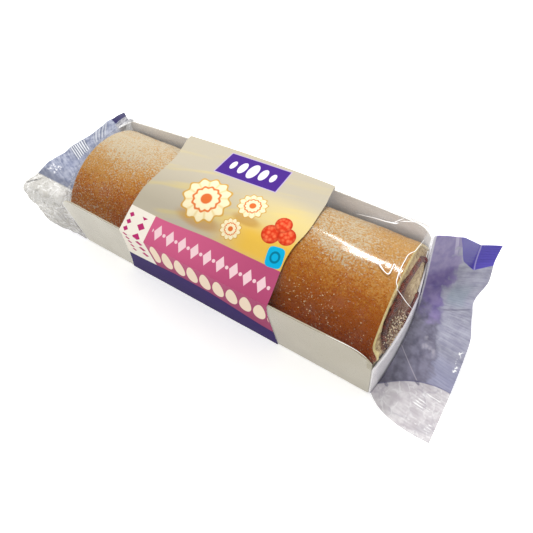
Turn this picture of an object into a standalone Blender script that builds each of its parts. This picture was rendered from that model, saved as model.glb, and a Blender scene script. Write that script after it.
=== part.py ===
"""A raspberry swiss roll in its sealed pack: sponge roll, open card tray and flow-wrap film.

The sealed pack is one closed solid, the outer form that the film takes over the tray and the roll.
Metres, +Z up. X runs along the roll, the tray's front wall faces -Y, the pack stands on Z = 0, and
the origin is on the table under the middle of the tray.
"""
import bpy
import bmesh
import numpy as np

# Card tray: two long walls, bowed out by the roll, and a lower bowed flap across each end.
TRAY_LENGTH = 0.215
TRAY_WIDTH = 0.0763  # at the middle of its length
WIDTH_TAPER = 0.049  # how much wider the right end is, and the left end narrower
WALL_HEIGHT = 0.0528
FLAP_HEIGHT = 0.038
CORNER_RUN = 0.0175  # length over which the front wall's top rounds down to the end flap
BACK_CORNER_RUN = 0.0100  # the film cuts the back wall's corners shorter
BACK_LIFT = 0.0015  # the film stands this much above the back wall
FLAP_BOW = 0.0055
BACK_WALL_BOW = 0.0050
FRONT_WALL_BOW = 0.0012

# Sponge roll, a little flattened under its own weight.
ROLL_LEFT = -0.0990
ROLL_RIGHT = 0.1005
ROLL_HALF_WIDTH = 0.0376
ROLL_HALF_HEIGHT = 0.0322
ROLL_CENTRE_HEIGHT = 0.0331
END_YAW = -0.08  # the right end is cut a little askew
END_LEAN = 0.038

# Film and its end seals.
FILM_GAP = 0.0003
FIN_THICKNESS = 0.0012
FIN_RIPPLE = 0.0007
# How far a fin's two sides are drawn out between root and edge, at the left end (-1) and the right (1).
FRONT_FLARE = {-1: (0, 0, 0), 1: (-0.0088, -0.0058, 0)}
BACK_FLARE = {-1: (0, 0, 0), 1: (0, 0.0050, 0.0060)}

# How finely the solid is divided.
WALL_STEPS = 5
ARCH_STEPS = 26
MIDDLE_RINGS = 14
CORNER_RINGS = 4
DRAPE_STEPS = (0.0, 0.1, 0.25, 0.45, 0.7, 1.0)
FIN_STEPS = (0.0, 0.08, 0.2, 0.36, 0.52, 0.68, 0.84, 1.0)
WALL_SHARE = 0.08  # share of a fin's width that carries on from one long wall

HALF_LENGTH = TRAY_LENGTH / 2


def half_width(x):
    """Half the tray's width at x: a straight taper."""
    return TRAY_WIDTH / 2 * (1 + WIDTH_TAPER * x / HALF_LENGTH)


def wall_top(x, corner_run=CORNER_RUN, height=WALL_HEIGHT):
    """Height of a long wall at x: level, then a quarter ellipse down to the end flap."""
    run = np.clip((abs(x) - (HALF_LENGTH - corner_run)) / corner_run, 0, 1)
    return FLAP_HEIGHT + (height - FLAP_HEIGHT) * np.sqrt(1 - run ** 2)


def bow(x):
    """Share of a wall's bow at x: a parabola, full at the middle and nothing at the ends."""
    return 1 - min(1, abs(x) / HALF_LENGTH) ** 2


def taut_arch(front, front_top, back, back_top):
    """Points of the film stretched over the roll between the two wall tops, each (y, z).

    The outline is the hull of the wall tops and the roll's oval. Each direction's support is the
    farther of the two, and the outline's radius along a ray is the nearest of those tangent lines.
    """
    centre = 0.4 * front_top
    normal = np.linspace(np.radians(-20), np.radians(200), 441)
    corners = np.maximum(
        back * np.cos(normal) + (back_top - centre) * np.sin(normal),
        -front * np.cos(normal) + (front_top - centre) * np.sin(normal),
    )
    oval = (ROLL_CENTRE_HEIGHT - centre) * np.sin(normal) + np.hypot(
        (ROLL_HALF_WIDTH + FILM_GAP) * np.cos(normal), (ROLL_HALF_HEIGHT + FILM_GAP) * np.sin(normal)
    )
    support = np.maximum(corners, oval)
    first = np.arctan2(front_top - centre, -front)
    last = np.arctan2(back_top - centre, back)
    ray = np.linspace(first, last, ARCH_STEPS + 1)
    facing = np.cos(normal[None, :] - ray[:, None])
    radius = np.where(facing > 0.05, support / np.maximum(facing, 0.05), np.inf).min(axis=1)
    return radius * np.cos(ray), centre + radius * np.sin(ray)


def seam_shares():
    """Where each point of a ring's upper side lies across a flat fin, 0 at the front, 1 at the back."""
    front = np.linspace(0, WALL_SHARE, WALL_STEPS + 1)
    arch = np.linspace(WALL_SHARE, 1 - WALL_SHARE, ARCH_STEPS + 1)[1:]
    back = np.linspace(1 - WALL_SHARE, 1, WALL_STEPS + 1)[1:]
    return np.concatenate([front, arch, back])


def body_section(x, arch_share=1.0):
    """One section of the pack at x: up the front wall, over the top, down the back, along the base.

    arch_share is how much of the roll's arch stands above the wall tops: 1 over the roll, 0 at a flap.
    """
    front_top = wall_top(x)
    back_top = wall_top(x, BACK_CORNER_RUN, WALL_HEIGHT + BACK_LIFT)
    foot = half_width(x)
    front = foot + FRONT_WALL_BOW * bow(x)
    back = foot + BACK_WALL_BOW * bow(x)
    climb = np.linspace(0, 1, WALL_STEPS + 1)
    arch_y, arch_z = taut_arch(front, front_top, back, back_top)
    level = front_top + (back_top - front_top) * (arch_y + front) / (front + back)
    arch_z = level + arch_share * (arch_z - level)
    y = np.concatenate([-foot - (front - foot) * climb, arch_y[1:-1], (foot + (back - foot) * climb)[::-1]])
    z = np.concatenate([front_top * climb, arch_z[1:-1], back_top * climb[::-1]])
    shares = seam_shares()[1:-1][::-1]
    base_y = foot * (2 * shares - 1)
    return np.concatenate([y, base_y]), np.concatenate([z, np.zeros_like(base_y)])


def flap_face(side, y):
    """X of an end flap's outer face: a shallow parabola across the tray's end."""
    end = side * HALF_LENGTH
    return side * (HALF_LENGTH + FLAP_BOW * (1 - np.clip(y / half_width(end), -1, 1) ** 2))


def rim_face(side, y, z):
    """X of the roll's end, which at the right is cut askew."""
    if side < 0:
        return np.full_like(y, ROLL_LEFT)
    return ROLL_RIGHT + END_YAW * y + END_LEAN * (z - ROLL_CENTRE_HEIGHT)


def drape_ring(side, share):
    """The film between the roll's rim (share 0) and the top of the end flap (share 1)."""
    rim = ROLL_LEFT if side < 0 else ROLL_RIGHT
    x_middle = rim + share * (side * HALF_LENGTH - rim)
    y, z = body_section(x_middle, 1 - share)
    x = rim_face(side, y, z) * (1 - share) + flap_face(side, y) * share
    return np.stack([x, y, z], axis=1)


def smooth_path(shares, knots, places):
    """Points at the given shares on a smooth curve through places, a cubic Hermite spline by knots."""
    knots, places = np.array(knots), np.array(places)
    slope = np.gradient(places, knots, axis=0)
    i = np.clip(np.searchsorted(knots, shares, side="right") - 1, 0, len(knots) - 2)
    span = (knots[i + 1] - knots[i])[:, None]
    t = (shares[:, None] - knots[i][:, None]) / span
    return (
        places[i] * (2 * t ** 3 - 3 * t ** 2 + 1)
        + places[i + 1] * (3 * t ** 2 - 2 * t ** 3)
        + slope[i] * span * (t ** 3 - 2 * t ** 2 + t)
        + slope[i + 1] * span * (t ** 3 - t ** 2)
    )


def right_fin(shares):
    """Root (y, z) on the flap and outer edge (x, y, z) of the right fin, which lies out on the table."""
    root = smooth_path(
        shares,
        [0, 0.45, 0.75, 0.9, 1],
        [(-0.0392, 0.0018), (0.000, 0.009), (0.024, 0.0135), (0.0335, 0.024), (0.0380, 0.0370)],
    )
    edge = smooth_path(
        shares,
        [0, 0.28, 0.48, 0.63, 0.78, 0.88, 1],
        [
            (0.1430, -0.0480, 0.0012),
            (0.1443, -0.0200, 0.0030),
            (0.1445, 0.0000, 0.0050),
            (0.1422, 0.0170, 0.0070),
            (0.1388, 0.0360, 0.0105),
            (0.1409, 0.0482, 0.0180),
            (0.1420, 0.0664, 0.0240),
        ],
    )
    return root, edge


def left_fin(shares):
    """Root (y, z) and outer edge (x, y, z) of the left fin: held up, with its front corner bent down."""
    root = smooth_path(
        shares,
        [0, 0.2, 0.3, 0.45, 0.7, 1],
        [(-0.0360, 0.0018), (-0.0352, 0.026), (-0.0310, 0.0340), (-0.018, 0.0350), (0.008, 0.034), (0.0330, 0.0290)],
    )
    edge = smooth_path(
        shares,
        [0, 0.2, 0.32, 0.42, 0.6, 0.8, 0.9, 1],
        [
            (-0.1425, -0.0372, 0.0030),
            (-0.1405, -0.0385, 0.0240),
            (-0.1465, -0.0355, 0.0395),
            (-0.1454, -0.0205, 0.0405),
            (-0.1462, 0.0000, 0.0370),
            (-0.1425, 0.0220, 0.0350),
            (-0.1385, 0.0410, 0.0350),
            (-0.1375, 0.0556, 0.0310),
        ],
    )
    return root, edge


def fin_ring(side, reach):
    """A thin closed ring across a fin: reach 0 on the flap's face, 1 at the crimped outer edge.

    The middle sheet is a quadratic Bezier curve from the root to the edge, whose middle point is
    drawn outwards at the fin's two sides, with a slight ripple. The two faces stand half the fin's
    thickness to either side of it.
    """
    shares = seam_shares()
    root, edge = (left_fin if side < 0 else right_fin)(shares)
    start = np.column_stack([flap_face(side, root[:, 0]), root])
    to_back = shares[:, None]
    flare = np.array(FRONT_FLARE[side]) * (1 - to_back) ** 3 + np.array(BACK_FLARE[side]) * to_back ** 3
    middle = (start + edge) / 2 + flare
    sheet = (1 - reach) ** 2 * start + 2 * reach * (1 - reach) * middle + reach ** 2 * edge
    along = np.gradient(sheet[:, 1:], axis=0)
    normal = np.column_stack([np.zeros(len(shares)), -along[:, 1], along[:, 0]])
    normal /= np.linalg.norm(normal, axis=1)[:, None]
    ripple = FIN_RIPPLE * reach * np.sin(2 * np.pi * 4.5 * shares) * np.sin(np.pi * shares)
    sheet = sheet + normal * ripple[:, None]
    offset = normal * FIN_THICKNESS / 2
    return np.concatenate([sheet + offset, (sheet - offset)[1:-1][::-1]])


def pack_rings():
    """Every ring of the pack, from the left fin's edge to the right fin's."""
    rings = [fin_ring(-1, reach) for reach in FIN_STEPS[::-1]]
    rings += [drape_ring(-1, share) for share in DRAPE_STEPS[::-1]]
    corner = HALF_LENGTH - CORNER_RUN
    left = np.linspace(ROLL_LEFT, -corner, CORNER_RINGS + 1)[1:]
    middle = np.linspace(-corner, corner, MIDDLE_RINGS + 1)[1:]
    right = np.linspace(corner, ROLL_RIGHT, CORNER_RINGS + 1)[1:-1]
    for x in np.concatenate([left, middle, right]):
        y, z = body_section(x)
        skew = np.clip((x - corner) / (ROLL_RIGHT - corner), 0, 1)
        rings.append(np.stack([x + skew * (rim_face(1, y, z) - ROLL_RIGHT), y, z], axis=1))
    rings += [drape_ring(1, share) for share in DRAPE_STEPS]
    rings += [fin_ring(1, reach) for reach in FIN_STEPS]
    return np.array(rings)


def loft(name, rings):
    """A closed mesh: quads between neighbouring rings, and a strip of quads across each end ring."""
    count, points, _ = rings.shape
    i = np.arange(count - 1)[:, None] * points
    j = np.arange(points)[None, :]
    k = (j + 1) % points
    quads = np.stack([i + j, i + k, i + points + k, i + points + j], axis=-1).reshape(-1, 4)
    upper = np.arange(points // 2)
    lower = (-upper) % points
    strip = np.stack([upper, upper + 1, lower[(upper + 1) % len(lower)], lower], axis=1)
    strip[-1, 2] = points // 2
    last = (count - 1) * points
    bm = bmesh.new()
    verts = [bm.verts.new(p) for p in rings.reshape(-1, 3)]
    faces = quads.tolist() + strip.tolist() + (strip + last).tolist()
    for face in faces:
        corners = list(dict.fromkeys(face))
        bm.faces.new([verts[c] for c in corners])
    bmesh.ops.triangulate(bm, faces=bm.faces[:])
    bmesh.ops.recalc_face_normals(bm, faces=bm.faces[:])
    mesh = bpy.data.meshes.new(name)
    bm.to_mesh(mesh)
    bm.free()
    mesh.shade_smooth()
    mesh.set_sharp_from_angle(angle=np.radians(35))
    obj = bpy.data.objects.new(name, mesh)
    bpy.context.scene.collection.objects.link(obj)
    return obj


def film_material():
    """Glossy packing film, pale over the card and the sponge."""
    material = bpy.data.materials.new("film")
    material.use_nodes = True
    shader = material.node_tree.nodes["Principled BSDF"]
    shader.inputs["Base Color"].default_value = (0.62, 0.48, 0.36, 1)
    shader.inputs["Roughness"].default_value = 0.15
    shader.inputs["Metallic"].default_value = 0.0
    return material


def main():
    for old in list(bpy.data.objects):
        bpy.data.objects.remove(old)
    pack = loft("film_wrap", pack_rings())
    pack.data.materials.append(film_material())


main()
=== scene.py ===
# %% [markdown]
# # A raspberry swiss roll in its flow wrap
#
# The real object is four things in one pack: a sponge roll with a jam spiral, an open card tray,
# the clear film drawn round both, and the print on that film. The film is sealed flat at each end
# into a crimped fin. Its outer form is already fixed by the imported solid, so this lesson builds
# the thin things that fill and clothe that form: film, print, card, sponge, jam and sugar.

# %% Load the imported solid
import math

import bpy
import numpy as np
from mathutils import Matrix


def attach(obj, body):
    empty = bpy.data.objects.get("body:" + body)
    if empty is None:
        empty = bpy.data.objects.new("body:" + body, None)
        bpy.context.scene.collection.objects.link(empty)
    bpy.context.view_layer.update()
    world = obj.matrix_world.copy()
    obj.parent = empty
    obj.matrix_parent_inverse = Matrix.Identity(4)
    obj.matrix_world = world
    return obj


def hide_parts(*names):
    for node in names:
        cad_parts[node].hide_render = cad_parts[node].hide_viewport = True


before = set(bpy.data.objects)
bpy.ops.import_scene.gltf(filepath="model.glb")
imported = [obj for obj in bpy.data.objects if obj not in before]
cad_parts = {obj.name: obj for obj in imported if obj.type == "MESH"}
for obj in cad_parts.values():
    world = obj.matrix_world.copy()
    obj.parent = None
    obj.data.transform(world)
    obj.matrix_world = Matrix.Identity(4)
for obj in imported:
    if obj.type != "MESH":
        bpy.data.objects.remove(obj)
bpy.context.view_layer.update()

# %% [markdown]
# ## The camera
#
# The picture was taken from the right, in front and above, with the camera turned about its own
# axis. A shift moves the picture on the sensor without turning the camera, which keeps the
# perspective of a photograph that was cropped off centre.

# %% Camera and picture frame
CAMERA_PLACE = (0.12938, -0.12411, 0.28715)
AZIMUTH = math.radians(38.9381)
ELEVATION = math.radians(52.3809)
ROLL = math.radians(-10.4991)
LENS = 34.44
SENSOR = 36.0
SHIFT_DOWN = 0.1206


def camera_axes():
    """The camera's right, up and back directions: a view by azimuth and elevation, then rolled."""
    back = np.array([
        math.sin(AZIMUTH) * math.cos(ELEVATION),
        -math.cos(AZIMUTH) * math.cos(ELEVATION),
        math.sin(ELEVATION),
    ])
    right = np.cross([0, 0, 1], back)
    right /= np.linalg.norm(right)
    up = np.cross(back, right)
    turned_right = right * math.cos(ROLL) + up * math.sin(ROLL)
    turned_up = up * math.cos(ROLL) - right * math.sin(ROLL)
    return turned_right, turned_up, back


lens = bpy.data.cameras.new("photo_camera")
lens.lens = LENS
lens.sensor_width = SENSOR
lens.shift_y = -SHIFT_DOWN
lens.clip_start = 0.01
camera = bpy.data.objects.new("photo_camera", lens)
placed = np.eye(4)
placed[:3, :3] = np.column_stack(camera_axes())
placed[:3, 3] = CAMERA_PLACE
bpy.context.scene.collection.objects.link(camera)
camera.matrix_world = placed.T
bpy.context.scene.camera = camera
print("camera stands at", [round(c, 4) for c in camera.matrix_world.translation])

# %% [markdown]
# ## Meshes from arrays
#
# Every piece here is a grid of points worked out by numpy in one go. A grid becomes quads between
# neighbouring rows and columns. A thin solid thing, such as card, is two such grids, an outer and
# an inner one, joined by a strip round their border, so it has a real thickness and no open edge.

# %% Grid, shell and piece helpers
BODY = "root"


def grid_quads(rows, columns, wrap=False):
    """Quads of a grid, which face the way that row direction cross column direction points."""
    i = np.arange(rows - 1)[:, None] * columns
    j = np.arange(columns if wrap else columns - 1)[None, :]
    k = (j + 1) % columns
    return np.stack([i + j, i + columns + j, i + columns + k, i + k], axis=-1).reshape(-1, 4)


def shell_quads(rows, columns):
    """Quads of a closed thin solid: an outer grid, then an inner grid, and a strip round the border."""
    outer = grid_quads(rows, columns)
    inner = outer[:, ::-1] + rows * columns
    first = np.arange(columns)
    far_side = np.arange(1, rows) * columns + columns - 1
    last = (rows - 1) * columns + np.arange(columns - 1)[::-1]
    near_side = np.arange(1, rows - 1)[::-1] * columns
    rim = np.concatenate([first, far_side, last, near_side])
    after = np.roll(rim, -1)
    border = np.stack([rim, after, after + rows * columns, rim + rows * columns], axis=-1)
    return np.concatenate([outer, inner, border])


def piece(name, points, faces, materials, flat=None, face_material=None, sharp=35.0):
    """A mesh object that rides on the pack; flat is each point's place on the unrolled surface."""
    mesh = bpy.data.meshes.new(name)
    faces = faces.tolist() if isinstance(faces, np.ndarray) else faces
    mesh.from_pydata(np.asarray(points, float).reshape(-1, 3).tolist(), [], faces)
    if flat is not None:
        corner = np.empty(len(mesh.loops), np.int32)
        mesh.loops.foreach_get("vertex_index", corner)
        layer = mesh.uv_layers.new(name="flat")
        layer.data.foreach_set("uv", np.asarray(flat, np.float32).reshape(-1, 2)[corner].ravel())
    for material in materials:
        mesh.materials.append(material)
    if face_material is not None:
        mesh.polygons.foreach_set("material_index", np.asarray(face_material, np.int32))
    mesh.shade_smooth()
    mesh.set_sharp_from_angle(angle=math.radians(sharp))
    made = bpy.data.objects.new(name, mesh)
    bpy.context.scene.collection.objects.link(made)
    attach(made, BODY)
    print(f"{name}: {len(mesh.vertices)} points, {len(mesh.polygons)} faces")
    return made


# %% Smooth relief and smooth paths


def noise(points, size, seed=0):
    """Smooth relief from -1 to 1: random numbers at the corners of cubes, blended in between."""
    place = np.asarray(points) / size + 1000.0
    cell = np.floor(place).astype(np.int64)
    share = place - cell
    share = share * share * (3 - 2 * share)
    total = np.zeros(place.shape[:-1])
    for corner in np.ndindex(2, 2, 2):
        x, y, z = np.moveaxis(cell + np.array(corner), -1, 0)
        # Large odd multipliers scatter neighbouring corners over the whole range of numbers.
        mixed = (x * 73856093) ^ (y * 19349663) ^ (z * 83492791) ^ (seed * 50331653)
        mixed = ((mixed ^ (mixed >> 13)) * 1274126177) & 0x7FFFFFFF
        value = ((mixed >> 7) & 0xFFFF) / 32767.5 - 1
        total += value * np.where(np.array(corner) == 1, share, 1 - share).prod(axis=-1)
    return total


def layered(points, layers):
    """Relief from 0 up: the sum of height * (1 + noise) over layers of height, size and seed."""
    return sum(height * (1 + noise(points, size, seed)) for height, size, seed in layers)


def outward(points):
    """Unit vectors out of a grid whose rows run round the pack: the row's line, turned a quarter."""
    tangent = np.gradient(points[..., 1:], axis=1)
    normal = np.stack([np.zeros(tangent.shape[:-1]), -tangent[..., 1], tangent[..., 0]], axis=-1)
    return normal / np.maximum(np.linalg.norm(normal, axis=-1, keepdims=True), 1e-12)


def smooth_path(shares, knots, places):
    """Points at the given shares on a smooth curve through places, a cubic Hermite spline by knots."""
    knots, places = np.asarray(knots, float), np.asarray(places, float)
    flat = places.reshape(len(knots), -1)
    slope = np.gradient(flat, knots, axis=0)
    shares = np.asarray(shares, float)
    i = np.clip(np.searchsorted(knots, shares, side="right") - 1, 0, len(knots) - 2)
    span = (knots[i + 1] - knots[i])[:, None]
    t = np.clip((shares[:, None] - knots[i][:, None]) / span, 0, 1)
    curve = (
        flat[i] * (2 * t ** 3 - 3 * t ** 2 + 1)
        + flat[i + 1] * (3 * t ** 2 - 2 * t ** 3)
        + slope[i] * span * (t ** 3 - 2 * t ** 2 + t)
        + slope[i + 1] * span * (t ** 3 - t ** 2)
    )
    return curve.reshape(len(shares), *places.shape[1:])


print("relief at two places", noise([[0.0, 0.0, 0.0], [0.5, 0.2, 0.1]], 1.0))

# %% [markdown]
# ## Shader maths that reads like a formula
#
# A material's nodes are a calculation, and a calculation reads best as an expression. The class
# below wraps one output socket. Sums and products of wires add Math nodes, and one method adds
# any other node with its settings and its inputs.

# %% The wire class


class Wire:
    """One value in a material's node tree, with the arithmetic that adds Math nodes."""

    def __init__(self, tree, socket=None):
        self.tree = tree
        self.socket = socket

    def node(self, kind, settings=None, inputs=None, output=0):
        """Adds a node of this kind, sets it up, gives its inputs values or wires, returns an output."""
        made = self.tree.nodes.new("ShaderNode" + kind)
        for key, value in (settings or {}).items():
            if key == "stops":
                ramp = made.color_ramp
                while len(ramp.elements) < len(value):
                    ramp.elements.new(1.0)
                for element, (position, tint) in zip(ramp.elements, value):
                    element.position = position
                    element.color = tint
            else:
                setattr(made, key, value)
        for key, value in (inputs or {}).items():
            if isinstance(value, Wire):
                self.tree.links.new(value.socket, made.inputs[key])
            else:
                made.inputs[key].default_value = value
        return Wire(self.tree, made.outputs[output])

    def math(self, operation, *others):
        return self.node("Math", {"operation": operation}, dict(enumerate((self, *others))))

    def __add__(self, other):
        return self.math("ADD", other)

    def __mul__(self, other):
        return self.math("MULTIPLY", other)

    def __sub__(self, other):
        return self.math("SUBTRACT", other)

    def __truediv__(self, other):
        return self.math("DIVIDE", other)

    def __rsub__(self, other):
        return self.node("Math", {"operation": "SUBTRACT"}, {0: other, 1: self})

    __radd__ = __add__
    __rmul__ = __mul__

    def rises(self, low, high):
        """0 below low, 1 above high, with a smooth step between; low above high turns it round."""
        limits = {"Value": self, "From Min": low, "From Max": high}
        return self.node("MapRange", {"interpolation_type": "SMOOTHSTEP"}, limits)

    def over(self, edge, soft=0.00012):
        """1 past the edge and 0 before it, with a soft border this wide to each side."""
        if isinstance(edge, Wire):
            return (self - edge).rises(-soft, soft)
        return self.rises(edge - soft, edge + soft)

    def within(self, low, high, soft=0.00012):
        return self.over(low, soft) * (1 - self.over(high, soft))

    def axes(self):
        """The three numbers of a vector."""
        split = self.node("SeparateXYZ", None, {0: self}).socket.node
        return [Wire(self.tree, split.outputs[i]) for i in range(3)]

    def beside(self, other):
        """A vector with this value as its x and the other one as its y."""
        return self.node("CombineXYZ", None, {0: self, 1: other})

    def scaled(self, factors):
        """This vector with each of its three numbers multiplied by its own factor."""
        return self.node("VectorMath", {"operation": "MULTIPLY"}, {0: self, 1: factors})

    def off_middle(self):
        """How far the value is from the middle between two whole numbers, from -0.5 to 0.5."""
        return self - self.math("FLOOR") - 0.5

    def grain(self, scale, detail=2.0, rough=0.5):
        """Noise from 0 to 1 over this vector, with this many cycles a metre."""
        return self.node("TexNoise", None, {
            "Vector": self, "Scale": scale, "Detail": detail, "Roughness": rough})

    def pores(self, scale):
        """Distance to the nearest of scattered points over this vector, about this many a metre."""
        return self.node("TexVoronoi", None, {"Vector": self, "Scale": scale})

    def paint(self, under, above):
        """The colour above where this value is 1, and under where it is 0."""
        return self.node("Mix", {"data_type": "RGBA"}, {0: self, 6: under, 7: above}, output=2)

    def bump(self, height, strength=1.0):
        """The surface's tilt when this value stands for a relief of the given height in metres."""
        return self.node("Bump", None, {"Height": self, "Distance": height, "Strength": strength})

    def show(self):
        """Sends this shader to the material's output."""
        output = self.tree.nodes.new("ShaderNodeOutputMaterial")
        self.tree.links.new(self.socket, output.inputs["Surface"])


# %% Colours and new materials


def screen(text):
    """A colour as Blender reckons with light, from six hexadecimal digits as on a screen."""
    value = np.array([int(text[i:i + 2], 16) / 255 for i in (0, 2, 4)])
    light = np.where(value <= 0.04045, value / 12.92, ((value + 0.055) / 1.055) ** 2.4)
    return (*light.tolist(), 1.0)


def new_material(name):
    """An empty material, a wire to start its nodes from, and the piece's own coordinates."""
    material = bpy.data.materials.new(name)
    material.use_nodes = True
    material.node_tree.nodes.clear()
    start = Wire(material.node_tree)
    return material, start, start.node("TexCoord", output=3)


print("mid grey on screen is", screen("808080")[0])

# %% [markdown]
# ## The taut film's form
#
# Film under tension takes the shortest way round what it wraps, so each cross-section is the
# hull of the tray's wall tops and the roll's oval: straight up the card, straight from wall top
# to roll, and along the roll over its crown. A hull is easy to reckon from its tangent lines: in
# every direction the farthest point of the contents gives one line, and along a ray from the
# middle the nearest of those lines is the film.

# %% Sizes of the tray and roll
TRAY_LENGTH = 0.215
TRAY_WIDTH = 0.0763
WIDTH_TAPER = 0.049
WALL_HEIGHT = 0.0528
FLAP_HEIGHT = 0.038
CORNER_RUN = 0.0175
BACK_CORNER_RUNS = (0.0030, 0.0100)  # left and right
BACK_LIFT = 0.0015
FLAP_BOW = 0.0055
BACK_WALL_BOW = 0.0050
FRONT_WALL_BOW = 0.0012
ROLL_LEFT = -0.1002
ROLL_RIGHT = 0.1037
ROLL_HALF_WIDTH = 0.0376
ROLL_HALF_HEIGHT = 0.0322
ROLL_CENTRE_HEIGHT = 0.0331
FILM_GAP = 0.0003
HALF_LENGTH = TRAY_LENGTH / 2
WALL_V = 0.275  # share of the way round that runs up one long wall


def half_width(x):
    """Half the tray's width at x: a straight taper."""
    return TRAY_WIDTH / 2 * (1 + WIDTH_TAPER * x / HALF_LENGTH)


def wall_top(x, corner_run=CORNER_RUN, height=WALL_HEIGHT, power=2.0):
    """Height of a long wall at x: level, then a quarter of a superellipse down to the end flap."""
    run = np.clip((np.abs(x) - (HALF_LENGTH - corner_run)) / corner_run, 0, 1)
    return FLAP_HEIGHT + (height - FLAP_HEIGHT) * (1 - run ** power) ** (1 / power)


def back_wall_top(x, height=WALL_HEIGHT, power=2.0):
    """Height of the back wall at x: its left corner is nearly square."""
    return wall_top(x, np.where(x < 0, *BACK_CORNER_RUNS), height, power)


def bow(x):
    """Share of a wall's bow at x: a parabola, full at the middle and nothing at the ends."""
    return 1 - np.minimum(1, np.abs(x) / HALF_LENGTH) ** 2


# %% The film round one cross-section


def taut_film(x, v, arch_share=1.0):
    """Points of the film at length x and share v of the way round, from front foot to back foot.

    Up a wall the height grows evenly with v. Over the arch a ray turns evenly with v, and its
    length is the least of the hull's tangent lines along it. arch_share flattens the arch to the
    line between the wall tops.
    """
    x, v, arch_share = (np.asarray(part, float) for part in np.broadcast_arrays(x, v, arch_share))
    front_top = wall_top(x)
    back_top = back_wall_top(x, WALL_HEIGHT + BACK_LIFT, 4.0)
    foot = half_width(x)
    front = foot + FRONT_WALL_BOW * bow(x)
    back = foot + BACK_WALL_BOW * bow(x)
    centre = 0.4 * front_top
    first = np.arctan2(front_top - centre, -front)
    last = np.arctan2(back_top - centre, back)
    turn = first + np.clip((v - WALL_V) / (1 - 2 * WALL_V), 0, 1) * (last - first)
    radius = np.full(x.shape, np.inf)
    for facing in np.radians(np.linspace(-20, 200, 221)):
        over_back = back * math.cos(facing) + (back_top - centre) * math.sin(facing)
        over_front = -front * math.cos(facing) + (front_top - centre) * math.sin(facing)
        over_roll = (ROLL_CENTRE_HEIGHT - centre) * math.sin(facing) + math.hypot(
            (ROLL_HALF_WIDTH + FILM_GAP) * math.cos(facing), (ROLL_HALF_HEIGHT + FILM_GAP) * math.sin(facing)
        )
        support = np.maximum(np.maximum(over_back, over_front), over_roll)
        lean = np.cos(facing - turn)
        radius = np.minimum(radius, np.where(lean > 0.05, support / np.maximum(lean, 0.05), np.inf))
    y = radius * np.cos(turn)
    z = centre + radius * np.sin(turn)
    level = front_top + (back_top - front_top) * (y + front) / (front + back)
    z = level + arch_share * (z - level)
    up = np.clip(v / WALL_V, 0, 1)
    down = np.clip((1 - v) / WALL_V, 0, 1)
    on_front = v < WALL_V
    on_back = v > 1 - WALL_V
    y = np.where(on_front, -foot - (front - foot) * up, np.where(on_back, foot + (back - foot) * down, y))
    z = np.where(on_front, front_top * up, np.where(on_back, back_top * down, z))
    return np.stack([x, y, z], axis=-1)


def unrolled(points):
    """Each point's way round from the front foot, summed along its row in the cross-section."""
    step = np.linalg.norm(np.diff(points[..., 1:], axis=1), axis=-1)
    return np.concatenate([np.zeros((len(points), 1)), np.cumsum(step, axis=1)], axis=1)


def way_round(walls=8, arch=110):
    """Shares v of the columns: few up the flat walls, many over the arch."""
    front = np.linspace(0, WALL_V, walls + 1)
    over = np.linspace(WALL_V, 1 - WALL_V, arch + 1)
    return np.concatenate([front, over[1:], 1 - front[::-1][1:]])


ROUND = way_round()
middle_row = taut_film(np.zeros((1, 1)), ROUND[None, :])
ROUND_LENGTH = unrolled(middle_row)[0]
print("film round the middle", round(ROUND_LENGTH[-1] * 1000, 1), "mm, crown at", middle_row[..., 2].max())

# %% [markdown]
# ## Ends of the film
#
# Past the roll's rim the film drapes down to the end flap. At the left it is drawn straight, and at
# the right it is a little rounded, because the soft core of the roll pushes it out. Ridges stand one
# to three tenths of a millimetre out of the film where it was pulled together. They only ever stand
# outwards, because the sponge is right below.

# %% Rim, flap and drape
RIM = {-1: ROLL_LEFT, 1: ROLL_RIGHT}
DRAPE_POWER = {-1: 1.0, 1: 1.3}


def flap_face(side, y):
    """X of an end flap's outer face: a shallow parabola across the tray's end."""
    end = side * HALF_LENGTH
    return side * (HALF_LENGTH + FLAP_BOW * (1 - np.clip(y / half_width(end), -1, 1) ** 2))


def drape(side, share, v):
    """The film between the roll's rim (share 0) and the top of the end flap (share 1).

    The arch's height over the wall tops is one minus a power of the share: above 1, it bulges.
    """
    arch_share = 1 - share ** DRAPE_POWER[side]
    points = taut_film(RIM[side] + share * (side * HALF_LENGTH - RIM[side]), v, arch_share)
    points[..., 0] = RIM[side] * (1 - share) + flap_face(side, points[..., 1]) * share
    return points


# %% Ridges in the film
# Each ridge: middle x and way round, direction in degrees from the roll's axis, half length,
# half width and height, in millimetres.
RIDGES = np.array([
    [92.0, 94, 84, 9, 1.6, 0.10],
    [96.6, 95, 97, 8, 1.4, 0.08],
    [84.0, 128, 8, 17, 0.8, 0.30],
    [70.0, 131, -5, 14, 0.8, 0.22],
    [93.0, 122, 35, 8, 0.7, 0.26],
    [-84.0, 100, 76, 10, 1.0, 0.22],
    [-78.0, 124, -10, 16, 0.9, 0.24],
    [-93.0, 86, 60, 7, 0.8, 0.22],
    [-60.0, 127, 6, 12, 0.8, 0.18],
    [62.0, 60, 12, 10, 0.8, 0.16],
    [80.0, 58, -8, 12, 0.8, 0.18],
    [-80.0, 58, 6, 14, 0.9, 0.18],
    [97.0, 70, 55, 9, 0.8, 0.24],
])
RIDGE_BEND = 0.02  # times the square of the way along a ridge: how far it bends aside, in millimetres
UNEVEN = ((0.00006, 0.009, 3),)


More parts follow.
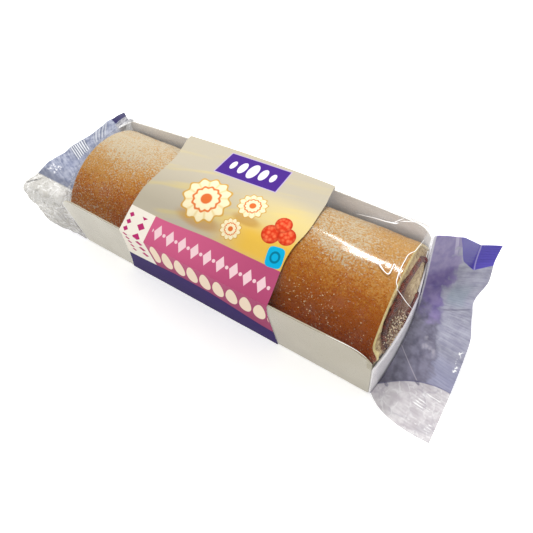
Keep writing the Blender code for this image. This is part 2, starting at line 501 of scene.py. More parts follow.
def ridges(x, along):
    """Height of the ridges: each a bell across its line, fading out beyond its half length."""
    total = np.zeros(np.broadcast(x, along).shape)
    for middle_x, middle_s, turn, length, width, height in RIDGES:
        dx, ds = x * 1000 - middle_x, along * 1000 - middle_s
        cosine, sine = math.cos(math.radians(turn)), math.sin(math.radians(turn))
        forward = dx * cosine + ds * sine
        aside = ds * cosine - dx * sine + RIDGE_BEND * forward ** 2
        total += height / 1000 * np.exp(-(aside / width) ** 2 - (forward / length) ** 4)
    return total


def lift_film(points, along):
    """Film points moved out of the cross-section's line by ridges and a slight unevenness."""
    flat = np.stack([points[..., 0] * 0.5, along, np.zeros_like(along)], axis=-1)
    height = ridges(points[..., 0], along) + layered(flat, UNEVEN)
    return points + outward(points) * height[..., None]


print("ridges set:", len(RIDGES))

# %% [markdown]
# ## Where the print begins and ends
#
# The printed band is not cut square: the film was pulled a little, so both edges wave. Each edge
# is a smooth curve through a few measured places, x against the way round. The clear film and the
# print share these two curves, so they meet without a gap.

# %% Edges of the printed band
PRINT_LEFT = np.array([
    [0, -63.5], [13, -59.4], [30, -55.6], [53, -51.9], [68, -51.5], [80, -50.2], [90, -47.9],
    [100, -46.5], [111, -47.6], [123, -51.4], [133, -54.8], [160, -57.0], [195, -58.5],
]) / 1000
PRINT_RIGHT = np.array([
    [0, 49.8], [30, 48.4], [43, 48.0], [53, 49.3], [62, 48.9], [70, 48.3], [78, 48.1], [86, 49.1],
    [94, 51.0], [101, 51.5], [112, 50.7], [120, 50.0], [129, 48.5], [137, 47.3], [195, 45.0],
]) / 1000


def print_edge(knots):
    """X of one edge of the print for each column, a smooth curve over the way round."""
    return smooth_path(ROUND_LENGTH, knots[:, 0], knots[:, 1])


left_edge = print_edge(PRINT_LEFT)
right_edge = print_edge(PRINT_RIGHT)
print("print runs from", left_edge.min(), "to", right_edge.max())

# %% [markdown]
# ## The fins
#
# At each end the two layers of film are pressed flat and crimped. The right fin lies out on the
# table and its back corner curls up. The left one stands out from the flap, and its front part is
# bent down into a loose web. Each fin is ruled from a root curve on the flap to an outer edge
# curve. Fine ribs across the seal come from the crimping jaws.

# %% Root and edge curves of the fins
FIN_THICKNESS = 0.0011
CRIMP_THICKNESS = 0.0005
FIN_RIPPLE = 0.0007
WALL_SHARE = 0.08
FRONT_FLARE = {-1: (0, 0, 0), 1: (-0.0088, -0.0058, 0)}
BACK_FLARE = {-1: (0, 0, 0), 1: (0, 0.0030, 0.0010)}
BACK_CREASE = {-1: 0.0, 1: 0.0048}


def fin_share(v):
    """A column's place across a flat fin: the walls take a small share at each side."""
    return np.interp(v, [0, WALL_V, 1 - WALL_V, 1], [0, WALL_SHARE, 1 - WALL_SHARE, 1])


def right_fin(across):
    """Root (y, z) on the flap and outer edge (x, y, z) of the right fin."""
    root = smooth_path(
        across,
        [0, 0.1, 0.2, 0.3, 0.45, 0.6, 0.75, 0.9, 1],
        [
            (-0.0392, 0.0018), (-0.0304, 0.0035), (-0.0216, 0.0080), (-0.0128, 0.0105), (0.0000, 0.0105),
            (0.0125, 0.0108), (0.0240, 0.0140), (0.0335, 0.0270), (0.0394, 0.0480),
        ],
    )
    edge = smooth_path(
        across,
        [0, 0.28, 0.48, 0.60, 0.67, 0.76, 0.81, 0.86, 0.905, 1],
        [
            (0.1430, -0.0480, 0.0012),
            (0.1443, -0.0200, 0.0030),
            (0.1445, 0.0000, 0.0050),
            (0.1437, 0.0145, 0.0065),
            (0.1408, 0.0238, 0.0080),
            (0.1390, 0.0355, 0.0100),
            (0.1420, 0.0450, 0.0138),
            (0.1418, 0.0512, 0.0165),
            (0.1412, 0.0560, 0.0185),
            (0.1420, 0.0664, 0.0240),
        ],
    )
    return root, edge


def left_fin(across):
    """Root (y, z) and outer edge (x, y, z) of the left fin, with its front part bent down."""
    root = smooth_path(
        across,
        [0, 0.2, 0.3, 0.45, 0.7, 0.85, 1],
        [
            (-0.0360, 0.0018), (-0.0352, 0.0260), (-0.0310, 0.0340), (-0.0180, 0.0365),
            (0.0080, 0.0385), (0.0245, 0.0430), (0.0363, 0.0520),
        ],
    )
    edge = smooth_path(
        across,
        [0, 0.2, 0.32, 0.42, 0.6, 0.8, 0.9, 1],
        [
            (-0.1425, -0.0372, 0.0030),
            (-0.1405, -0.0385, 0.0240),
            (-0.1465, -0.0355, 0.0395),
            (-0.1454, -0.0205, 0.0405),
            (-0.1462, 0.0000, 0.0370),
            (-0.1425, 0.0220, 0.0350),
            (-0.1385, 0.0410, 0.0350),
            (-0.1375, 0.0556, 0.0310),
        ],
    )
    return root, edge


def fin_root(side, across, top=1.0):
    """The root curve as points on the end flap's face, no higher than top."""
    root = (left_fin if side < 0 else right_fin)(across)[0]
    root[:, 1] = np.minimum(root[:, 1], top)
    return np.column_stack([flap_face(side, root[:, 0]), root])


# %% The sheet between root and edge
CRIMP_START = 0.50  # reach at which the sealed, ribbed part of a fin begins
RIB_PITCH = 0.0016
RIB_HEIGHT = 0.00007
RIB_SLANT = {-1: 0.12, 1: 0.0}  # shift across the fin from root to edge, as a share of its width
FOLD_HEIGHT = 0.00045
FOLD_SIZE = 0.0055
CRUMPLE = 0.00016
WEB_CRUMPLE = 0.0009


def fin_sheet(side, reach, across):
    """Middle of a fin at reach 0 (root) to 1 (edge), a quadratic Bezier curve, and its normals.

    The Bezier's middle point is drawn out at the two sides. The relief is a slow ripple across,
    soft folds that run outwards, creases all over, a coarser crumple in the left fin's web, and
    a fine wave for the crimping ribs near the outer edge.
    """
    edge = (left_fin if side < 0 else right_fin)(across)[1]
    start = fin_root(side, across)
    to_back = across[:, None]
    flare = np.array(FRONT_FLARE[side]) * (1 - to_back) ** 3 + np.array(BACK_FLARE[side]) * to_back ** 3
    bend = (start + edge) / 2 + flare
    r = reach[:, None, None]
    sheet = (1 - r) ** 2 * start + 2 * r * (1 - r) * bend + r ** 2 * edge
    sheet[..., 2] -= BACK_CREASE[side] * np.interp(reach, [0.42, 0.68, 1], [0, 1, 0])[:, None] * across ** 8
    normal = outward(sheet)
    width = np.cumsum(np.linalg.norm(np.diff(edge, axis=0, prepend=edge[:1]), axis=1))
    r, w = np.broadcast_arrays(reach[:, None], width[None, :])
    relief = FIN_RIPPLE * r * (np.sin(2 * np.pi * 4.5 * across) * np.sin(np.pi * across))[None, :]
    folds = noise(np.stack([w, r * 0.012, np.full_like(w, side)], axis=-1), FOLD_SIZE, 5)
    relief = relief + FOLD_HEIGHT * folds * np.minimum(1, 4 * r)
    flat = np.stack([w, r * 0.034, np.full_like(w, side)], axis=-1)
    creased = np.abs(noise(flat, 0.0075, 31)) + 0.5 * np.abs(noise(flat, 0.0034, 32))
    relief = relief + CRUMPLE * (0.6 - creased) * np.interp(r, [0, 0.1, 0.5, 1], [0, 2.2, 1.4, 0.7])
    if side < 0:
        web = np.interp(across, [0, 0.30, 0.40], [1, 1, 0])
        crumples = noise(flat, 0.0065, 33) + 0.5 * noise(flat, 0.003, 34)
        relief = relief + WEB_CRUMPLE * web * np.minimum(1, 3 * r) * crumples
    crimped = np.clip((r - CRIMP_START) / 0.1, 0, 1)
    patchy = 0.65 + 0.35 * noise(np.stack([w, r * 0.03, np.zeros_like(w)], axis=-1), 0.013, 8)
    slant = w + (1 - r) * RIB_SLANT[side] * width[-1]
    relief = relief + RIB_HEIGHT * crimped * patchy * np.sin(2 * np.pi * slant / RIB_PITCH)
    return sheet + normal * relief[..., None], normal


print("right fin reaches x =", right_fin(np.array([0.5]))[1][0, 0])

# %% [markdown]
# ## Clear film
#
# Packing film is nearly invisible face on and mirrors strongly at a glancing angle. One sheet
# without thickness is enough, because the two faces of real film are closer than light can show:
# a see-through shader is mixed with a mirror. How much mirror follows the angle between the eye
# and the film, and it is the same from inside the pack as from outside.

# %% Clear film material


def clear_film_material():
    """A see-through sheet with a mirror on it: little face on, most of it at a glancing angle.

    Over the cut ends the film clings to the moist crumb, so less of it mirrors there. Where it
    spans the gap to the back wall and along its top over that wall, its milky look is a painted
    reflection, which also lifts the shade there. Where it is gathered at the back corners it looks
    milky, and over the right flap that is partly painted light.
    """
    material, start, place = new_material("clear_film")
    x, y, z = place.axes()
    ripples = place.grain(120.0, 0.0)
    mirror = start.node("BsdfPrincipled", None, {
        "Base Color": (1, 1, 1, 1), "Metallic": 1.0, "Roughness": 0.11,
        "Normal": ripples.bump(0.00006, 0.14)})
    glance = start.node("LayerWeight", None, {"Blend": 0.5}, output=1)
    clings = x.rises(0.1030, 0.1045) * z.rises(0.036, 0.040) * 0.75
    share = glance.math("POWER", 3.0) * 0.55 * (1 - clings) + 0.014
    through = start.node("BsdfTransparent", None, {"Color": (1, 1, 1, 1)})
    left_corner = x.rises(-0.1015, -0.1045) * y.rises(0.024, 0.031)
    white = left_corner.paint((0.80, 0.79, 0.80, 1.0), (0.36, 0.36, 0.39, 1.0))
    milk_and_sheen = start.node("BsdfPrincipled", None, {"Base Color": white, "Roughness": 0.4})
    # Gathered film at the back corners looks milky; over the right flap this is partly painted light,
    # lifting the flap's shade.
    gathered = (x.rises(0.1030, 0.1050) * y.rises(0.022, 0.030) * 0.4).math("MAXIMUM", left_corner * 0.85)
    # A milky band along the film's top over the back wall: a painted reflection.
    ridge = x.rises(0.030, 0.090) * y.rises(0.0385, 0.0405) * z.rises(0.0500, 0.0535) * 0.75
    # Over the gap to the back wall the milky look is a painted reflection, which lifts the shade between
    # roll and wall.
    spanning_reflection = y.rises(0.019, 0.035) * (0.13 + x.rises(0.03, 0.10) * 0.12)
    milky_veil_and_reflection = spanning_reflection.math("MAXIMUM", gathered).math("MAXIMUM", ridge)
    milky_veil_and_reflection = milky_veil_and_reflection + place.grain(70.0, 2.0).rises(0.5, 0.8) * 0.04
    sheet = start.node("MixShader", None, {0: milky_veil_and_reflection, 1: through, 2: milk_and_sheen})
    start.node("MixShader", None, {0: share, 1: sheet, 2: mirror}).show()
    return material


clear_film = clear_film_material()

# %% Clear film over the left and right part
DRAPE_SHARES = np.concatenate([[0, 0.015, 0.035, 0.06, 0.09], np.linspace(0.13, 1, 16)])
FLAP_ROWS = 7


def film_end(side):
    """Rows of film from the roll's rim over the drape and down the flap to the fin's root."""
    rows = [drape(side, share, ROUND) for share in DRAPE_SHARES]
    top = rows[-1]
    root = fin_root(side, fin_share(ROUND), FLAP_HEIGHT - 0.001)
    shares = np.linspace(0, 1, FLAP_ROWS + 1)[1:, None, None]
    flap = top + shares * (root - top)
    flap[..., 0] = flap_face(side, flap[..., 1])
    return np.concatenate([np.array(rows), flap])


def clear_side(side, rows=64):
    """The clear film from the print's edge to the fin's root, rows along +X."""
    edge = left_edge if side < 0 else right_edge
    share = np.linspace(0, 1, rows + 1)[:, None]
    body = taut_film(edge * (1 - share) + RIM[side] * share, ROUND[None, :])
    grid = np.concatenate([body[:-1], film_end(side)])
    along = np.broadcast_to(ROUND_LENGTH, grid.shape[:2])
    fade = np.ones(len(grid))
    fade[-FLAP_ROWS - len(DRAPE_SHARES):] = np.linspace(1, 0, FLAP_ROWS + len(DRAPE_SHARES))
    lifted = lift_film(grid, along)
    grid = grid + (lifted - grid) * fade[:, None, None]
    return grid[::-1] if side < 0 else grid


for side, name in ((-1, "clear_film_left"), (1, "clear_film_right")):
    points = clear_side(side)
    piece(name, points, grid_quads(*points.shape[:2]), [clear_film])

# %% [markdown]
# ## Pinched folds in the clear film
#
# Where the film was gathered it is pinched into narrow folds, which catch the light as white lines:
# along the roll's rim, across the cut end, on the crown, over the back wall and along the front
# wall's top. Each is a thin closed ribbon with a lens for its section, near white and glowing
# faintly: partly the film's own whitening at a fold, partly painted highlights for that light. It is
# carried along a smooth line on the film, given in the film's own terms: reach from the print, and
# way round.

# %% Ribbons on the film


def on_film(side, reach, v):
    """Points of the clear film: reach 0 to 1 from print to rim, then to 2 down to the flap's top."""
    edge = np.interp(v, ROUND, left_edge if side < 0 else right_edge)
    body = taut_film(edge + np.minimum(reach, 1) * (RIM[side] - edge), v)
    return np.where(reach[..., None] > 1, drape(side, np.clip(reach - 1, 0, 1), v), body)


def closed_tube(rings):
    """Points and faces of a tube through rings: quads, and a fan round the middle of each end."""
    columns = rings.shape[1]
    quads = grid_quads(*rings.shape[:2], wrap=True)
    flat = rings.reshape(-1, 3)
    count = len(flat)
    first, last = flat[:columns].mean(axis=0), flat[-columns:].mean(axis=0)
    j = np.arange(columns)
    k = (j + 1) % columns
    near = np.stack([np.full(columns, count), j, k], axis=-1)
    far = np.stack([np.full(columns, count + 1), count - columns + k, count - columns + j], axis=-1)
    return np.vstack([flat, first, last]), quads.tolist() + near.tolist() + far.tolist()


def ribbon(side, path, steps=60, sides=8):
    """Rings of a ribbon along a path of reach, way round and half width: a lens across the path."""
    path = np.array(path, float)
    length = np.linspace(0, 1, len(path))
    reach, v, half = smooth_path(np.linspace(0, 1, steps), length, path).T
    middle = on_film(side, reach, v)
    tangent = np.gradient(middle, axis=0)
    tangent /= np.linalg.norm(tangent, axis=-1, keepdims=True)
    across_v = on_film(side, reach, v + 0.002) - on_film(side, reach, v - 0.002)
    across_x = on_film(side, reach + 0.01, v) - on_film(side, reach - 0.01, v)
    normal = side * np.cross(across_v, across_x)
    normal /= np.linalg.norm(normal, axis=-1, keepdims=True)
    aside = np.cross(normal, tangent)
    phi = np.linspace(0, 2 * math.pi, sides, endpoint=False)[None, :, None]
    half = (half / 1000 * np.sin(np.linspace(0.15, math.pi - 0.15, steps)) ** 0.5)[:, None, None]
    rise = RIBBON_RISE + np.minimum(half, RIBBON_RISE) * np.sin(phi)
    return middle[:, None] + aside[:, None] * half * np.cos(phi) + normal[:, None] * rise


RIBBON_RISE = 0.00022
# Each place on a fold: reach, share of the way round, and half width in millimetres.
FOLDS = (
    # Along the roll's rim.
    ((1.16, 0.6656, 0.25), (0.98, 0.595, 0.22), (0.958, 0.552, 0.22), (0.959, 0.516, 0.22),
     (0.966, 0.497, 0.26), (0.985, 0.479, 0.24), (1.07, 0.466, 0.18)),
    # Across the cut end.
    ((1.05, 0.4691, 0.16), (1.36, 0.4716, 0.18), (1.663, 0.4779, 0.18), (1.93, 0.4906, 0.16)),
    # A zigzag on the crown.
    ((0.66, 0.5135, 0.3), (0.749, 0.5074, 0.5), (0.795, 0.4971, 0.46), (0.848, 0.4892, 0.26),
     (0.883, 0.4905, 0.36), (0.888, 0.5104, 0.26), (0.886, 0.5260, 0.20), (0.915, 0.5191, 0.24),
     (0.955, 0.5119, 0.2), (0.990, 0.50, 0.14)),
    # Three over the back wall.
    ((0.33, 0.655, 0.12), (0.513, 0.6677, 0.24), (0.614, 0.6723, 0.32), (0.708, 0.680, 0.60),
     (0.735, 0.686, 0.4)),
    ((0.70, 0.684, 0.3), (0.735, 0.700, 0.26), (0.761, 0.7127, 0.16)),
    ((0.745, 0.694, 0.2), (0.80, 0.706, 0.34), (0.885, 0.7183, 0.16)),
    # Along the front wall's top.
    ((0.60, 0.2757, 0.12), (0.746, 0.2765, 0.14), (0.901, 0.2783, 0.14), (0.99, 0.2790, 0.12)),
)
# Near white and faintly glowing, though no lamp: painted highlights on the folds.
fold_highlight_material, start, _ = new_material("film_fold_highlight")
start.node("BsdfPrincipled", None, {
    "Base Color": (0.95, 0.94, 0.94, 1.0), "Roughness": 0.3,
    "Emission Color": (1, 1, 1, 1), "Emission Strength": 0.18}).show()
fold_points, fold_faces, count = [], [], 0
for path in FOLDS:
    tube_points, tube_faces = closed_tube(ribbon(1, path))
    fold_points.append(tube_points)
    fold_faces += [[corner + count for corner in face] for face in tube_faces]
    count += len(tube_points)
piece("film_folds", np.concatenate(fold_points), fold_faces, [fold_highlight_material], sharp=60.0)

# %% [markdown]
# ## The printed band
#
# The print is fields of flat colour, drawn in millimetres on the unrolled film: u runs along the
# roll and s is the way round from the front foot. Each field is a mask, a value of 1 inside and 0
# outside, and masks are laid over each other from the ground up. The motifs are plain shapes:
# rosettes, round berries, leaves, slim diamonds, beads and drops.

# %% Mask shapes


def turned(u, s, middle, degrees):
    """u and s measured from a middle point along axes turned by some degrees."""
    cosine, sine = math.cos(math.radians(degrees)), math.sin(math.radians(degrees))
    du, ds = u - middle[0] / 1000, s - middle[1] / 1000
    return du * cosine + ds * sine, ds * cosine - du * sine


def box(u, s, middle, half, degrees=0.0, soft=0.00015):
    """A rectangle: the distance past its nearer side is below 0 inside. Sizes in millimetres."""
    a, b = turned(u, s, middle, degrees)
    past = (a.math("ABSOLUTE") - half[0] / 1000).math("MAXIMUM", b.math("ABSOLUTE") - half[1] / 1000)
    return past.rises(soft, -soft)


def oval(u, s, middle, half, degrees=0.0):
    """Distance from the middle as a share of the oval's own radius, 1 on its outline."""
    a, b = turned(u, s, middle, degrees)
    a, b = a / (half[0] / 1000), b / (half[1] / 1000)
    return (a * a + b * b).math("SQRT")


def beads(u, pitch, first):
    """Distance along u from the middle of its cell in a row of cells. Sizes in millimetres."""
    return ((u - first / 1000) / (pitch / 1000)).off_middle() * (pitch / 1000)


# %% Fields of the print


def rosette(u, s, ground, middle, size, degrees):
    """A flower of twelve cream petals with an ochre outline, an orange ring and an orange eye.

    The outline's radius swings with the cosine of twelve times the angle round the middle.
    """
    a, b = turned(u, s, middle, degrees)
    far = (a * a + b * b).math("SQRT") / (size / 1000)
    swing = (b.math("ARCTAN2", a) * 12.0).math("COSINE")
    petal = far / (0.93 + swing * 0.07)
    ground = petal.over(1.0, 0.03).paint(screen("C99A48"), ground)
    ground = petal.over(0.92, 0.03).paint(screen("EEE2BC"), ground)
    vein = (1 - swing).math("POWER", 6.0) * (1 / 64) * far.rises(0.35, 0.50) * (1 - petal.over(0.92, 0.03))
    ground = (vein * 0.6).paint(ground, screen("DDBF7C"))
    ground = (far - swing * 0.03).within(0.46, 0.55, 0.02).paint(ground, screen("DA7A44"))
    return far.over(0.22, 0.03).paint(screen("D96F38"), ground)


def berry(u, s, ground, middle, radius):
    """A round berry: small beads of orange red, darker towards its outline."""
    ball = oval(u, s, middle, (radius, radius))
    red = u.beside(s).pores(480.0).rises(0.1, 0.75).paint(screen("F0764C"), screen("D63A1E"))
    red = (ball.rises(0.55, 1.05) * 0.6).paint(red, screen("A82A18"))
    return ball.over(1.0, 0.03).paint(red, ground)


def picture_fields(u, s, ground):
    """The upper part: a gold field, soft shade, three rosettes and three round berries."""
    glow = u.rises(-0.010, 0.040) * s.within(0.0760, 0.1080, 0.0120)
    ground = (glow * 0.65).paint(ground, screen("EBD27A"))
    gold = u.rises(-0.006, 0.026) * s.within(0.0690, 0.0880, 0.0060)
    ground = (gold * 0.9).paint(ground, screen("E6B840"))
    for middle, half in (((-8, 77.5), (18, 6.0)), ((18, 88.5), (11, 4.0))):
        shade = oval(u, s, middle, half).rises(1.0, 0.5)
        ground = (shade * 0.6).paint(ground, screen("B8883E"))
    for middle, size, degrees in (((-10, 90.5), 15.5, 10), ((16.5, 98), 9.0, 27), ((12.5, 80.5), 6.6, 0)):
        ground = rosette(u, s, ground, middle, size, degrees)
    for middle, radius in (((34.5, 87.0), 5.4), ((43.0, 89.0), 5.0), ((38.2, 94.6), 4.8)):
        ground = berry(u, s, ground, middle, radius)
    return ground


def panel_fields(u, s, ground):
    """The lower part: a magenta panel, a row of slim diamonds and beads, a row of leaning drops."""
    top = 0.0690 + u.rises(-0.034, 0.010) * 0.0022
    panel = u.over(-0.0332) * (1 - s.over(top))
    magenta = s.rises(0.022, 0.066).paint(screen("9A3A66"), screen("D06288"))
    magenta = (u.rises(-0.030, 0.048) * 0.6).paint(magenta, screen("A04068"))
    ground = panel.paint(ground, magenta)
    aside = beads(u, 8.6, -31.2).math("ABSOLUTE")
    level = (s - 0.0612).math("ABSOLUTE")
    diamond = (aside / 0.0027 + level / 0.0046).rises(1.05, 0.97)
    away = beads(u, 8.6, -26.9).math("POWER", 2.0) + level.math("POWER", 2.0)
    bead = away.rises(0.0011 ** 2, 0.0009 ** 2)
    row = diamond.math("MAXIMUM", bead) * u.within(-0.0310, 0.0470)
    ground = row.paint(ground, screen("F0CDD2"))
    height = s - 0.0410 + u * 0.05
    lean = beads(u - s * 0.20, 9.0, -41.5)
    taper = 0.0038 - height * 0.09
    drop = ((lean / taper).math("POWER", 2.0) + (height / 0.0104).math("POWER", 2.0)).rises(1.05, 0.95)
    row = drop * u.within(-0.0315, 0.0475)
    return row.paint(ground, screen("F3DEC6"))


def strip_fields(u, s, ground):
    """The pale strip with small marks at the left, and the navy strip along the front foot."""
    strip = (1 - u.over(-0.0332)) * (1 - s.over(0.0690))
    ground = strip.paint(ground, screen("F1E9DC"))
    for column, pitch, half in ((-48.2, 4.4, 1.9), (-39.0, 6.4, 2.9)):
        step = beads(s, pitch, 31.0).math("ABSOLUTE") / (pitch * 0.00038)
        aside = (u - (column / 1000)).math("ABSOLUTE") / (half / 1000)
        mark = (step + aside).rises(1.05, 0.95) * s.within(0.031, 0.0655)
        ground = mark.paint(ground, screen("B8326E"))
    navy_top = 0.0240 + u.rises(-0.060, -0.010) * 0.0042 - u.rises(0.000, 0.050) * 0.0098
    ground = (1 - s.over(navy_top)).paint(ground, screen("2E1460"))
    return ground


def badge_fields(u, s, ground):
    """The purple panel with a pale rim and leaves, the turquoise badge, the back's lined panel."""
    ground = box(u, s, (0.0, 124.3), (20.8, 11.6), 4).paint(ground, screen("B8A8CC"))
    ground = box(u, s, (0.0, 124.3), (20.2, 11.0), 4).paint(ground, screen("4A2C84"))
    for middle, size in ((0, 7.4), (-7.0, 5.8), (7.0, 5.8), (-13.4, 4.2), (13.4, 4.2)):
        leaf = oval(u, s, (middle, 124.3 + middle * 0.07), (size * 0.42, size), 4)
        ground = leaf.over(1.0, 0.06).paint(screen("E4DEEA"), ground)
    a, b = turned(u, s, (42.3, 76.6), 8)
    badge = ((a / 0.0048).math("POWER", 4.0) + (b / 0.0056).math("POWER", 4.0)).math("POWER", 0.25)
    ground = badge.over(1.0, 0.03).paint(screen("12AEDC"), ground)
    ring = oval(u, s, (42.3, 76.6), (5.0, 5.6))
    ground = ring.within(0.36, 0.58, 0.05).paint(ground, screen("0E7896"))
    ground = box(u, s, (-4.0, 166.0), (40.0, 17.0)).paint(ground, screen("F2EEE4"))
    lines = (s / 0.0034).off_middle().math("ABSOLUTE")
    marked = (1 - lines.over(0.18, 0.04)) * box(u, s, (-4.0, 166.0), (36.0, 14.0))
    return (marked * 0.6).paint(ground, screen("8A7FA8"))


def print_material():
    """Reverse-printed film: flat inks under a smooth face that shines softly."""
    material, start, place = new_material("printed_film")
    u, s, _ = start.node("UVMap", {"uv_map": "flat"}).axes()
    streak = (u * 16.0 + s * 5.0).beside(s * 95.0 - u * 26.0).grain(1.0)
    swoosh = streak.rises(0.50, 0.70) * (0.25 + s.rises(0.122, 0.108) * 0.5)
    cream = swoosh.paint(screen("B8AF9C"), screen("CEBC80"))
    ground = picture_fields(u, s, cream)
    ground = panel_fields(u, s, ground)
    ground = strip_fields(u, s, ground)
    ground = badge_fields(u, s, ground)
    ripples = place.grain(300.0, 2.0)
    start.node("BsdfPrincipled", None, {
        "Base Color": ground, "Roughness": 0.40, "Specular IOR Level": 0.02,
        "Normal": ripples.bump(0.00012, 0.4)}).show()
    return material


printed_film = print_material()
print("print has", len(printed_film.node_tree.nodes), "nodes")

# %% The printed band's sheet
share = np.linspace(0, 1, 91)[:, None]
band = taut_film(left_edge * (1 - share) + right_edge * share, ROUND[None, :])
band_along = unrolled(band)
band = lift_film(band, np.broadcast_to(ROUND_LENGTH, band.shape[:2]))
band_flat = np.stack([band[..., 0], band_along], axis=-1)
label = piece("printed_band", band, grid_quads(*band.shape[:2]), [printed_film], flat=band_flat)
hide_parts("film_wrap")

# %% [markdown]
# ## Print on the fins and underside
#
# The film under the tray is printed lavender, and that print comes up into both fins. Towards the
# crimped edge it is paler, because air between the two layers scatters light. The front of each
# fin is clear film again: two crumpled layers look milky, so the masks also drive how much light
# passes.

# %% Fin materials


def haze(start, ground, solid, roughness, normal, coat=0.7, specular=0.5):
    """A printed or milky sheet: where solid is below 1 some light passes straight through."""
    shader = start.node("BsdfPrincipled", None, {
        "Base Color": ground, "Roughness": roughness, "Specular IOR Level": specular,
        "Coat Weight": coat, "Coat Roughness": 0.16, "Normal": normal})
    through = start.node("BsdfTransparent", None, {"Color": (1, 1, 1, 1)})
    start.node("MixShader", None, {0: solid, 1: through, 2: shader}).show()


def creases(place, scale, width):
    """A loose net of sharp creases: the borders of random cells, broken up by noise."""
    bent = place.node("VectorMath", {"operation": "ADD"}, {0: place, 1: place.node(
        "VectorMath", {"operation": "SCALE"}, {0: place.node(
            "TexNoise", None, {"Vector": place, "Scale": scale * 1.3}, output=1), "Scale": 0.5 / scale})})
    border = place.node("TexVoronoi", {"feature": "DISTANCE_TO_EDGE"}, {"Vector": bent, "Scale": scale})
    return border.rises(width, width * 0.3) * place.grain(scale * 1.7, 2.0).rises(0.44, 0.56)


def milky_film(place, mottle, tones, *nets):
    """Crumpled clear film: mottled between two tones, with nets of creases drawn over it.

    Each net is its scale, its creases' width, how strongly they cover, and their colour. Grey
    nets are painted shade in the creases, and near-white nets are painted highlights on them.
    """
    ground = mottle.rises(0.38, 0.64).paint(screen(tones[0]), screen(tones[1]))
    for scale, width, strength, tint in nets:
        ground = (creases(place, scale, width) * strength).paint(ground, screen(tint))
    return ground


def printed_right(u, r, cloud, crumple, fibre):
    """The right fin's print: slate and purple near the root, pale over the seal, violet corner."""
    outer = (fibre * 0.6 + crumple * 0.4).rises(0.30, 0.70).paint(screen("88879E"), screen("ACACBC"))
    outer = (u.rises(0.48, 0.36) * 0.6).paint(outer, screen("8788A8"))
    outer = (u.within(0.70, 0.79, 0.03) * r.within(0.50, 0.84, 0.06) * 0.6).paint(outer, screen("8594A2"))
    mixed = cloud * 0.5 + crumple * 0.5
    slate = mixed.rises(0.34, 0.66).paint(screen("4F4C63"), screen("7D7A90"))
    purple = mixed.rises(0.32, 0.68).paint(screen("625294"), screen("8374A6"))
    inner = (u + (cloud - 0.5) * 0.5).rises(0.54, 0.72).paint(slate, purple)
    start_of_seal = 0.46 + (0.6 - u).math("MAXIMUM", 0.0) * 0.65
    near = (start_of_seal - r + (cloud - 0.5) * 0.5 + (crumple - 0.5) * 0.3).rises(-0.05, 0.09)
    ground = near.paint(outer, inner)
    pale = cloud.rises(0.58, 0.70) * r.within(0.30, 0.56, 0.05) * u.within(0.38, 0.56, 0.05)
    ground = (pale * 0.45).paint(ground, screen("C2BEC6"))
    # A dark line along a fold of the film: painted shade.
    crease_shade = (u - 0.624 - r * 0.08).math("ABSOLUTE").rises(0.006, 0.001) * r.within(0.46, 0.96, 0.03)
    ground = (crease_shade * 0.55).paint(ground, screen("504C68"))
    # A pale line along a fold of the film: painted highlight.
    fold = (u - 0.327 + r * 0.177).math("ABSOLUTE").rises(0.005, 0.001) * r.rises(0.56, 0.50)
    ground = (fold * 0.5).paint(ground, screen("C4BCC8"))
    left_side = (1.210 - r * 0.571).math("MAXIMUM", 1.017 - r * 0.200)
    violet = (u - left_side.math("MAXIMUM", 0.818 + r * 0.077)).rises(-0.003, 0.003)
    fringe = (r - 0.345 - (0.993 - u) * 0.9).within(-0.045, 0.0, 0.006) * u.rises(0.930, 0.950)
    ground = (fringe * crumple.rises(0.42, 0.52) * 0.6).paint(ground, screen("B8AECB"))
    corner = r.rises(0.68, 0.71).paint(screen("34209A"), screen("483AAE"))
    ground = violet.paint(ground, corner)
    lit = (r - 0.957 + u * 0.27).math("ABSOLUTE").rises(0.016, 0.004) * violet
    ground = (lit * 0.6).paint(ground, screen("B4ACDE"))
    # A pale band along the root: the gathered film's milkiness, and partly painted light that lifts the
    # shade where the fin leaves the flap.
    gathered = r.rises(0.040, 0.022) * u.rises(0.60, 0.74)
    return (gathered * 0.8).paint(ground, screen("D8D6DC"))


